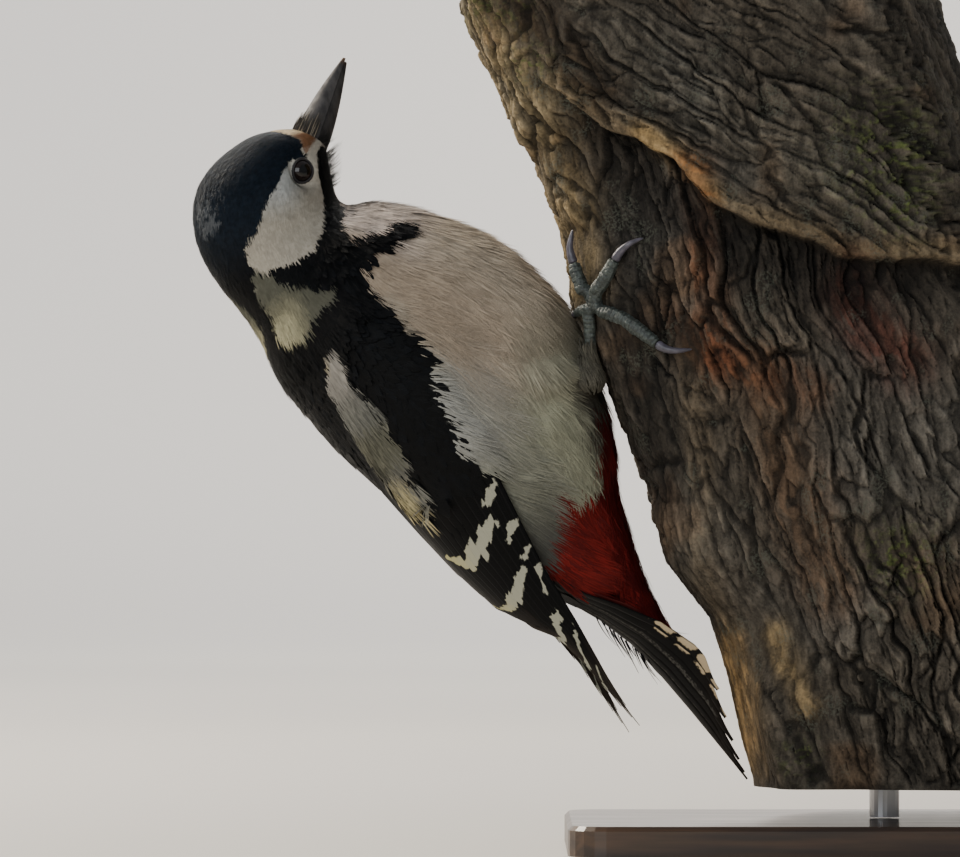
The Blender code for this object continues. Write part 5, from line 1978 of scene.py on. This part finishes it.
@dataclass(frozen=True)
class Foot:
    """One foot and its shank as a single scaly skin, with four horny claws."""

    side: str
    voxel: float = 0.00024
    scute_mm: float = 1.25
    skin_rounds: int = 7
    flesh: float = 0.00012             # what smoothing takes from the toes
    claw_horn: float = 0.00013         # and from the claws
    knot_radius: float = 0.0021
    web_radius: float = 0.00165

    def limb_nodes(self) -> list[str]:
        """Return the CAD nodes of the shank and toes."""
        return ["tarsus_" + self.side] + [f"toe_{n}_{self.side}" for n in range(1, 5)]

    def build(self, skin: Material, horn: Material) -> None:
        """Build the foot.

        Args:
            skin: Finish of the scaly skin.
            horn: Finish of the claws.
        """
        shape, bones = bmesh.new(), []
        for node in self.limb_nodes():
            part = copy_of_node(node)
            points = np.array([vertex.co for vertex in part.verts])
            middle = points.mean(axis=0)
            bones.append((points, middle, np.linalg.svd(points - middle, full_matrices=False)[2][0]))
            push_out(part, self.flesh)
            join_shape(shape, part)

        def ball(centre: Vector, radius: float, sides: int, rings: int) -> None:
            """Add a ball of flesh."""
            bmesh.ops.create_uvsphere(shape, u_segments=sides, v_segments=rings, radius=radius,
                                      matrix=Matrix.Translation(centre))

        def nearest(points: Array, target: Vector) -> Vector:
            """Return the point nearest to a target."""
            return min((Vector(point) for point in points), key=lambda point: (point - target).length)

        knot = Vector(np.concatenate([bone[0] for bone in bones[1:]]).mean(axis=0))
        heel = nearest(bones[0][0], knot)
        ball(heel.lerp(knot, 0.3), self.knot_radius, 16, 10)
        # webs of skin join the toes at the foot's middle
        for points, _, _ in bones[1:]:
            root = nearest(points, heel)
            for k in range(7):
                ball(heel.lerp(root, 0.2 + 0.8 * k / 6), self.web_radius, 14, 9)
        item = voxel_object("foot_" + self.side, shape, self.voxel, self.skin_rounds)
        item.data.materials.append(skin)
        item.data.shade_smooth()
        self.carve(item.data, bones)
        finish_piece(item, "leg_skin", *self.limb_nodes())
        for number in range(1, 5):
            self.claw(number, horn)

    def carve(self, mesh: Mesh, bones: list) -> None:
        """Cut scutes across the top of shank and toes, and pimple the rest.

        Args:
            mesh: The foot's mesh.
            bones: Points, middle and axis of the shank and of each toe.
        """
        points, normals = points_of(mesh), normals_of(mesh)
        tree = tree_of(np.concatenate([bone[0] for bone in bones]))
        owner = np.repeat(np.arange(len(bones)), [len(bone[0]) for bone in bones])
        mine = owner[[tree.find(point)[1] for point in points]]
        middles, axes = np.array([b[1] for b in bones])[mine], np.array([b[2] for b in bones])[mine]
        along = ((points - middles) * axes).sum(1) / MM
        bark = unit(np.array([-0.35, -0.9, 0.3])) if self.side == "right" else unit(np.array([-0.9, 0.3, 0.3]))
        top = smooth((normals * bark).sum(1), -0.15, 0.35)
        phase = along / self.scute_mm + 0.42 * fractal(points * 420, 2, 3)
        groove = np.abs((phase % 1) - 0.5) * 2
        groove = smooth(groove, 0.66, 1)
        gap, value, _ = plates(points * 1150, 8)
        wrinkle = fall(gap, 0.02, 0.28)
        lumps = fractal(points * 620, 3, 17)
        depth = np.clip(0.7 * top * groove + 0.6 * wrinkle, 0, 1)
        relief = 0.10 - 0.16 * top * groove - 0.13 * wrinkle + 0.10 * (value - 0.5) + 0.30 * lumps
        set_points(mesh, points + normals * (relief[:, None] * MM))
        set_attribute(mesh, "depth", depth * 0.8)
        shade = 0.80 + 0.35 * fractal(points * 240, 3, 12) + 0.25 * (value - 0.5)
        set_tone(mesh, "tone", np.column_stack([shade * 0.98, shade, shade * 0.98]))

    def claw(self, number: int, horn: Material) -> None:
        """Make one claw round and smooth from its node.

        Args:
            number: The toe's number.
            horn: Its finish.
        """
        node = f"claw_{number}_{self.side}"
        shape = copy_of_node(node)
        push_out(shape, self.claw_horn)
        item = show(node + "_horn", close_shape(shape, node + "_horn"))
        finer = item.modifiers.new("finer", "SUBSURF")
        finer.levels = finer.render_levels = 2
        apply_modifiers(item)
        item.data.materials.append(horn)
        item.data.shade_smooth()
        finish_piece(item, "claw_horn", node)


# ---------------------------------------------------------------- trunk


@dataclass(frozen=True)
class BarkFinish:
    """Rough bark whose colour is stored on the mesh, broken up by grain and lichen."""

    lichen: tuple = (0.085, 0.090, 0.070, 1)

    def material(self) -> Material:
        """Return the finish as a material."""
        material, n = new_material("bark")
        grain, speckle = n.noise(420, 6, (1, 1, 0.35)), n.noise(1500)
        share = n.between(n.plus(n.times(grain, 0.7), n.times(speckle, 0.3)), 0.32, 0.68, 0.50, 1.50)
        spots = n.times(n.between(n.noise(95, 4), 0.56, 0.66), n.between(speckle, 0.45, 0.6))
        base = n.blend(n.times(spots, 0.55), n.shade(n.attribute("tone", "Color"), share), self.lichen)
        height = n.plus(grain, n.times(speckle, 0.35))
        return dress(material, Base_Color=base, Roughness=0.88, Specular_IOR_Level=0.25,
                     Normal=n.bump(height, 0.8, 0.0011))


@dataclass(frozen=True)
class SawnFinish:
    """Sawn wood with growth rings that follow the stored share of the radius."""

    rings: float = 34

    def material(self) -> Material:
        """Return the finish as a material."""
        material, n = new_material("sawn_wood")
        turn = n.times(n.plus(n.attribute("ring"), n.times(n.noise(28), 0.10)), self.rings * 6.283)
        year = n.between(n.math("SINE", turn), -0.2, 1, 1, 0.62)
        grain = n.between(n.noise(900), 0.3, 0.7, 0.86, 1.08)
        base = n.shade(n.attribute("tone", "Color"), n.times(year, grain))
        return dress(material, Base_Color=base, Roughness=0.8, Normal=n.bump(grain, 0.5, 0.0002))


@dataclass(frozen=True)
class Streak:
    """A raised or sunken streak of bark along a line of (x, z) in mm on the near side."""

    line: tuple
    width: float               # mm to each side
    height: float              # mm, negative for a hollow
    # on some streaks the colour is painted sunlight, on others painted shadow
    colour: tuple              # multiplies the bark's colour
    tone_width: float          # mm to each side for the colour


@dataclass(frozen=True)
class Trunk:
    """The cut length of trunk: plated bark with furrows, a rolled fold, hollows and moss."""

    bottom: float = 0.0172
    top: float = 0.234
    half_x: float = 0.060
    half_y: float = 0.052
    turn: float = math.radians(-14)
    reach: float = 0.0627
    axis_bottom: float = 0.035
    axis_top: float = -0.042
    # height and left edge x as the trunk rises, mm
    edge: tuple = (
        (17.2, -23.6), (30, -27), (46, -30.4), (62, -35.2), (76, -46.6), (98, -54.8), (110, -59.4), (122, -64.2),
        (131, -67.4), (140, -71.2), (164, -74), (182, -80.6), (199, -89.3), (216, -97.6), (234, -104.6),
    )
    near_columns: int = 350            # between near_from and near_to
    far_columns: int = 150
    near_from: float = math.radians(158)
    near_to: float = math.radians(302)
    rows: int = 500
    fold: tuple = ((-84, 207), (-79.9, 203.5), (-61, 189), (-47, 182), (-37.6, 171.8), (-23.5, 165),
                   (-4.7, 158.9), (14, 156.5), (60, 154))
    grain_above: tuple = (0.86, -0.51)
    streaks: tuple = (
        # painted shadow: dark streaks under the fold and in the hollow beside the toes
        Streak(((-72, 190), (-56, 177), (-42, 166), (-24, 157), (14, 150)), 7, -1.8, (0.42, 0.40, 0.40), 8),
        Streak(((-62, 166), (-58, 150), (-55, 125), (-52, 98)), 8, -2, (0.40, 0.40, 0.42), 9),
        Streak(((-42, 180), (-40, 165), (-37, 148), (-36, 130)), 4.5, 0.6, (1.15, 0.80, 0.66), 5),
        Streak(((-46, 140), (-36, 132), (-25, 126), (-10, 122)), 5, 0.3, (1.12, 0.80, 0.66), 5.5),
        Streak(((-25, 128), (-18, 108), (-12, 90), (-6, 70)), 8, -1, (1.15, 0.88, 0.72), 8),
        Streak(((0, 150), (6, 138), (14, 130)), 7, -2.6, (0.9, 0.45, 0.4), 7),
        # painted sunlight along a raised edge
        Streak(((-43, 132), (-39, 112), (-37, 84), (-34, 52), (-30, 30)), 3.6, 1.3, (1.35, 1.25, 1.1), 4),
        Streak(((-60, 214), (-40, 196), (-18, 181), (14, 170)), 5, 1.2, (1.35, 1.4, 1.42), 8),
        # painted sunlight on the left edge, then a painted highlight on the fold's rim
        Streak(((-97, 222), (-88, 206), (-79, 188), (-74, 168), (-72, 150)), 6, 0.6, (2.2, 1.9, 1.3), 7),
        Streak(((-54, 188), (-46, 182), (-38, 173)), 3, 0.8, (1.9, 1.7, 1.25), 3.5),
        Streak(((-84, 222), (-74, 210), (-66, 202)), 6, -1, (0.45, 0.38, 0.32), 6.5),
        # painted sunlight on two flakes at the bottom
        Streak(((-33, 54), (-30, 40), (-28, 20)), 4.5, 3, (4.6, 3.7, 2.4), 4),
        Streak(((-19, 56), (-16, 46), (-13, 38)), 3, 1.2, (3.2, 2.7, 1.8), 3.2),
    )
    moss: tuple = ((8, 186, 14), (12, 172, 9), (-94, 226, 8), (-84, 208, 5), (12, 78, 9), (-14, 26, 5))
    moss_colour: tuple = (0.045, 0.056, 0.016)
    sawn: tuple = (1.0, 0.955, 0.93, 0.8, 0.6, 0.4, 0.2, 0.05)      # shares of the radius on the sawn ends
    bark_within: float = 0.94
    bark_tone: tuple = (0.10, 0.075, 0.050)
    wood_tone: tuple = (0.42, 0.29, 0.165)
    relief: tuple = (-7.0, 3.2)        # lowest and highest bark against the plain surface, mm
    # where the toes rest, mm
    rests: tuple = (
        (-68, -31, 146), (-56, -42, 137), (-47, -43, 133), (-60, -38, 158),
        (-72, -27, 158), (-69, 11, 145), (-67, 20, 148), (-65, 28, 142),
    )

    def axis(self, z: Array | float) -> Array:
        """Return the x of the leaning axis at a height."""
        share = (z - self.bottom) / (self.top - self.bottom)
        return self.axis_bottom + (self.axis_top - self.axis_bottom) * share

    def plain(self, angle: Array, z: Array) -> Array:
        """Return the radius of the CAD node's surface."""
        c, s = np.cos(angle - self.turn), np.sin(angle - self.turn)
        radius = ((np.abs(c) / self.half_x) ** 4 + (np.abs(s) / self.half_y) ** 4) ** -0.25
        bulge = self.axis(z) - self.reach - read_table(self.edge, z / MM) * MM
        wave = np.sin(9 * angle + 2.2 * np.sin(z / 0.026))
        calm = 1 - 0.75 * np.exp(-((angle - math.radians(215)) / 0.45) ** 2)
        flake = np.exp(-((angle - math.radians(220)) / 0.14) ** 2 - ((z - 0.026) / 0.022) ** 4)
        return radius + bulge * np.maximum(0, -np.cos(angle)) ** 1.2 + 0.0011 * wave * calm + 0.009 * flake

    def surface(self, angle: Array, z: Array, shape: tuple[int, int]) -> tuple[Array, Array]:
        """Return the finished bark's points and colours.

        Args:
            angle: Angles about the trunk.
            z: Heights.
            shape: Rows and columns of the grid that they come from.

        Returns:
            The points and the colour of each.
        """
        plain, axis = self.plain(angle, z), self.axis(z)
        x, y = axis + plain * np.cos(angle), plain * np.sin(angle)
        places = np.column_stack([x, y, z]) / MM
        near = smooth(-y, 0, 0.012)
        warp = np.column_stack([fractal(places * 0.055 + 11 * k, 4, 40 + k) for k in range(3)])
        away, above = from_line(x / MM + 3 * warp[:, 0], z / MM + 3 * warp[:, 1], self.fold)
        over = near * smooth(x, -0.086, -0.066)
        signed = np.where(above > 0, away, -away)
        # grain runs up the leaning trunk, but above the fold it follows the fold
        lean = places[:, 0] + (places[:, 2] - 120) * 0.355
        turned = (signed > 0) * over > 0.5
        fx, fz = self.grain_above
        across = np.where(turned, fx * places[:, 2] - fz * places[:, 0], lean)
        along = np.where(turned, 0.6 * (fx * places[:, 0] + fz * places[:, 2]) + 300, places[:, 2])
        grain = np.column_stack([across, places[:, 1], along]) + warp * np.array([5, 3.5, 9])

        def layer(width: float, length: float, seed: int, step: float, tilt: float, crack: float,
                  crack_width: float) -> tuple[Array, Array, Array]:
            """Return one size of plate: its height in mm, how near a crack is and its own number."""
            gap, value, offset = plates(grain / np.array([width, width, length]), seed)
            slope = offset @ np.array([0.8, 0.5, -1])
            near_crack = fall(gap, 0.02, crack_width)
            return step * (value - 0.5) + tilt * slope - crack * near_crack, near_crack, value

        ridges = 1 - 2.4 * np.abs(fractal(grain * np.array([0.075, 0.075, 0.014]), 3, 50))
        large, large_crack, large_value = layer(10.5, 46, 61, 1.5, 1.1, 1.6, 0.08)
        medium, medium_crack, medium_value = layer(4, 19, 62, 0.75, 0.8, 0.7, 0.11)
        small, small_crack, small_value = layer(1.5, 6.5, 63, 0.34, 0.40, 0.22, 0.22)
        fibres = fractal(grain * np.array([1.3, 1.3, 0.14]), 4, 51)
        crumbs = fractal(places * 0.9, 3, 52)
        # rough and smoother stretches take turns
        rough = (0.55 + 0.45 * smooth(fractal(places * 0.03 + 7, 2, 53), -0.25, 0.2)) * np.where(turned, 0.72, 1)
        lift = 0.2 + 0.9 * ridges + rough * (large + medium + small) + 0.34 * fibres + 0.20 * crumbs
        crack = rough * np.maximum.reduce([large_crack, 0.75 * medium_crack, 0.45 * small_crack])

        colour = np.tile([0.050, 0.042, 0.032], (len(x), 1))
        colour = colour * (0.65 + 0.45 * large_value + 0.25 * medium_value + 0.25 * small_value)[:, None]
        grey = smooth(fractal(places * 0.024, 3, 80), -0.15, 0.35)[:, None]
        colour = colour * (1 - grey) + colour * np.array([1.15, 1.22, 1.32]) * grey
        warm = smooth(fractal(places * 0.045 + 31, 3, 81), 0.12, 0.5)[:, None]
        colour = colour * (1 + warm * np.array([0.28, 0.03, -0.15]))

        # the rolled fold with the drop under it; a painted highlight runs along its rim and painted shadow darkens the
        # drop
        roll = np.exp(-(np.maximum(signed, 0) / 9) ** 2) * smooth(signed, -0.8, 0.6)
        drop = smooth(-signed, -0.4, 1.4) * np.exp(-(np.maximum(-signed, 0) / 13) ** 2)
        lift += over * (2.4 * roll * (1 + 0.25 * fibres) - 3.6 * drop)
        colour *= 1 + (over * np.exp(-((signed - 2) / 3.4) ** 2))[:, None] * np.array([0.9, 0.7, 0.35])
        colour *= 1 - (over * 0.45 * drop)[:, None]
        for streak in self.streaks:
            gap, _ = from_line(x / MM + 4 * warp[:, 2], z / MM + 3 * warp[:, 0], streak.line)
            share = np.exp(-(gap / streak.width) ** 2) * near
            lift += streak.height * share * (1 + 0.3 * fibres)
            tint = np.exp(-(gap / streak.tone_width) ** 2) * near * (0.55 + 0.9 * small_value)
            colour *= 1 + (np.array(streak.colour) - 1) * np.clip(tint, 0, 1)[:, None]
        fluff = fractal(places * 1.7, 3, 90)
        for mx, mz, size in self.moss:
            share = np.exp(-(np.hypot(x / MM - mx, z / MM - mz) / size) ** 2) * near
            share = share * smooth(crumbs + 0.5 * fluff, -0.1, 0.5)
            green = share[:, None] * np.array(self.moss_colour) * (1 + 0.6 * fluff[:, None])
            colour = colour * (1 - share[:, None]) + green
            lift += share * (0.5 + 0.8 * fluff)

        # the left edge draws back behind the bird's belly
        lift -= 2.6 * np.exp(-((angle - 3.2) / 0.5) ** 2) * smooth(z, 0.086, 0.098) * fall(z, 0.124, 0.136)
        calm = self.under_bird(places * MM)
        lift = np.minimum(lift, lift * (1 - calm) + calm * (-0.45 + 0.25 * small + 0.2 * crumbs))
        lift = np.clip(lift, *self.relief) * smooth(z, 0.0172, 0.0200)
        # raised rims are made paler, and hollows and cracks darker
        grid = lift.reshape(shape)
        blurred = grid.copy()
        for step in (1, 1, 1, 1, 1, 3, 6):
            rolled = [np.roll(blurred, way * step, axis) for axis in (0, 1) for way in (1, -1)]
            blurred = (blurred + rolled[0] + rolled[1] + rolled[2] + rolled[3]) / 5
        rim = (grid - blurred).ravel()
        colour *= (1 + 0.75 * np.clip(rim / 0.7, -0.75, 1.3))[:, None]
        colour *= (1 - 0.35 * crack)[:, None]
        radius = plain + lift * MM
        points = np.column_stack([axis + radius * np.cos(angle), radius * np.sin(angle), z])
        return points, np.clip(colour, 0.002, 0.5)

    def under_bird(self, places: Array) -> Array:
        """Return 1 where feet and tail rest on the bark, fading to 0."""
        rests = np.array(self.rests) * MM
        gap = np.min(np.linalg.norm(places[:, None, :] - rests[None], axis=2), axis=1)
        tail = fall(places[:, 2], 0.055, 0.085) * smooth(-places[:, 0], 0, 0.02) * smooth(places[:, 1], -0.050, -0.036)
        return np.maximum(1 - smooth(gap, 0.006, 0.011), tail)

    def build(self) -> None:
        """Build the bark in three pieces and the sawn ends in a fourth."""
        near = np.linspace(self.near_from, self.near_to, self.near_columns, endpoint=False)
        far = np.linspace(self.near_to, self.near_from + 2 * math.pi, self.far_columns, endpoint=False)
        angles = np.concatenate([near, far])
        heights = np.linspace(self.bottom, self.top, self.rows)
        grid_a, grid_z = np.meshgrid(angles, heights)
        points, colours = self.surface(grid_a.ravel(), grid_z.ravel(), grid_a.shape)
        finish = BarkFinish().material()
        count, half = len(angles), self.rows // 2
        number = np.arange(self.rows * count).reshape(self.rows, count)
        wrapped = np.column_stack([number, number[:, :1]])
        n = self.near_columns
        for name, rows, columns in (("bark_lower", slice(0, half + 1), slice(0, n + 1)),
                                    ("bark_upper", slice(half, self.rows), slice(0, n + 1)),
                                    ("bark_far", slice(0, self.rows), slice(n, count + 1))):
            part = wrapped[rows, columns]
            faces = grid_faces(np.arange(part.size).reshape(part.shape)).tolist()
            item = make_object(name, points[part.ravel()], faces, finish)
            item.data.set_sharp_from_angle(angle=math.radians(70))
            set_tone(item.data, "tone", colours[part.ravel()])
            finish_piece(item, "bark", "perch_trunk")
        self.saw_ends(points[number[0]], points[number[-1]])

    def saw_ends(self, low: Array, high: Array) -> None:
        """Close both ends with sawn wood: a rim of bark, then growth rings.

        Args:
            low: Points of the bark's lower rim.
            high: Points of its upper rim.
        """
        points, faces, tones, rings = [], [], [], []
        for ring, height, upward in ((low, self.bottom, False), (high, self.top, True)):
            centre = np.array([self.axis(height), 0, height])
            corner = len(points) + np.arange(len(self.sawn) * len(ring)).reshape(len(self.sawn), -1)
            for share in self.sawn:
                points += list(centre + (ring - centre) * share)
                tones += [self.bark_tone if share > self.bark_within else self.wood_tone] * len(ring)
                rings += [share] * len(ring)
            closed = grid_faces(corner, True).tolist() + [corner[-1].tolist()]
            faces += closed if upward else [face[::-1] for face in closed]
        item = make_object("sawn_ends", points, faces, SawnFinish().material())
        set_tone(item.data, "tone", np.array(tones))
        set_attribute(item.data, "ring", np.array(rings))
        finish_piece(item, "bark", "perch_trunk")


@dataclass(frozen=True)
class Stand:
    """Finishes of the stand's own nodes: dark oiled wood and brushed steel."""

    def build(self) -> None:
        """Dress the base and the rods."""
        wood = MottledFinish("stand_wood_finish", (0.070, 0.036, 0.018, 1), (0.024, 0.012, 0.007, 1), 0.38, 60,
                             (0.35, 6, 6), 0.0001, coat=0.25).material()
        steel = MottledFinish("stand_steel_finish", (0.52, 0.52, 0.53, 1), (0.40, 0.40, 0.41, 1), 0.32, 300,
                              (1, 1, 0.02), 0.00004, metallic=1).material()
        for node, finish in (("stand_base", wood), ("stand_rod_1", steel), ("stand_rod_2", steel)):
            frame["nodes"][node].material_slots[0].material = finish


# ---------------------------------------------------------------- camera, light and floor


@dataclass
class Studio:
    """Camera, soft lights, pale floor and backdrop."""

    centre: tuple = (-0.098, 0.112)
    frame_width: float = 0.255
    distance: float = 2.5
    sensor: float = 36
    floor_light: tuple = (0.50, 0.48, 0.46, 1)
    floor_dark: tuple = (0.56, 0.54, 0.50, 1)

    def build(self) -> None:
        """Make them all."""
        camera = bpy.data.cameras.new("camera")
        camera.sensor_width = self.sensor
        camera.lens = self.sensor * (self.distance - 0.014) / self.frame_width
        camera.clip_start, camera.clip_end = 0.05, 20
        item = bpy.data.objects.new("camera", camera)
        item.location = (self.centre[0], -self.distance, self.centre[1])
        item.rotation_euler = (math.pi / 2, 0, 0)
        bpy.context.scene.collection.objects.link(item)
        bpy.context.scene.camera = item
        self.light("key", (-1.25, 0.60, 1.15), 0.7, 58, (1, 0.91, 0.77))
        self.light("fill", (-0.9, -2.1, 0.9), 1.4, 22, (0.93, 0.97, 1))
        self.light("rim", (-0.2, 1.4, 1.3), 0.8, 20, (1, 0.97, 0.92))
        self.light("backdrop", (0, 2.3, 1.9), 1.6, 90, (1, 0.98, 0.96), (0, 4.4, 0.5))
        world = bpy.data.worlds.new("world")
        world.use_nodes = True
        sky = {"Color": (0.80, 0.82, 0.85, 1), "Strength": 0.35}
        Nodes(world.node_tree).fill(world.node_tree.nodes["Background"], sky)
        bpy.context.scene.world = world
        self.floor()

    def light(self, name: str, place: tuple, size: float, power: float, colour: tuple,
              target: tuple = (-0.09, 0, 0.12)) -> None:
        """Make one square area light.

        Args:
            name: Its name.
            place: Where it stands.
            size: Its side.
            power: Watts.
            colour: Its colour.
            target: What it faces.
        """
        data = bpy.data.lights.new(name, "AREA")
        data.size, data.energy, data.color = size, power, colour
        item = bpy.data.objects.new(name, data)
        item.location = place
        item.rotation_euler = (Vector(target) - Vector(place)).to_track_quat("-Z", "Y").to_euler()
        bpy.context.scene.collection.objects.link(item)

    def floor(self) -> None:
        """Make the floor that curves up into the backdrop."""
        profile = [(-5, 0), (2.2, 0)]
        profile += [(2.2 + 2.2 * math.sin(a), 2.2 - 2.2 * math.cos(a)) for a in np.linspace(0.05, math.pi / 2, 32)]
        profile += [(4.4, 5)]
        points = [(x, y, z) for y, z in profile for x in (-5, 5)]
        faces = [(2 * i, 2 * i + 1, 2 * i + 3, 2 * i + 2) for i in range(len(profile) - 1)]
        material, n = new_material("floor")
        mottle = n.between(n.noise(0.9, 1), 0.35, 0.65)
        dress(material, Base_Color=n.blend(mottle, self.floor_light, self.floor_dark), Roughness=0.9)
        make_object("floor", points, faces, material)


def main() -> None:
    """Build the model, its stand and the studio."""
    logging.basicConfig(level=logging.INFO, format="%(name)s %(message)s")
    bird = BirdFrame()
    body = BodyMap(bird)
    plumage = Plumage(bird, body)
    plumage.build()
    flight = VaneFinish("flight_feathers").material()
    FoldedWing().build(bird, -1, "wing_right", flight)
    FoldedWing().build(bird, 1, "wing_left", flight)
    TailFan().build(bird, VaneFinish("tail_feathers", shaft=(0.020, 0.019, 0.018, 1), rib=(0.015, 0.055)).material())
    Trousers().build(VaneFinish("trouser_feathers").material())
    Bill().build(bird)
    Eyes().build(plumage)
    Bristles().build(bird, plumage.tree, VaneFinish("bristles").material())
    leather = MottledFinish("foot_skin", (0.105, 0.125, 0.115, 1), (0.060, 0.072, 0.068, 1), 0.52, 700,
                            bump_depth=0.00008, depth=True).material()
    horn = MottledFinish("claw_horn_finish", (0.115, 0.105, 0.135, 1), (0.060, 0.056, 0.072, 1), 0.33, 500,
                         bump_depth=0.00003).material()
    for side in ("right", "left"):
        Foot(side).build(leather, horn)
    Trunk().build()
    Stand().build()
    Studio().build()


if __name__ == "__main__":
    main()
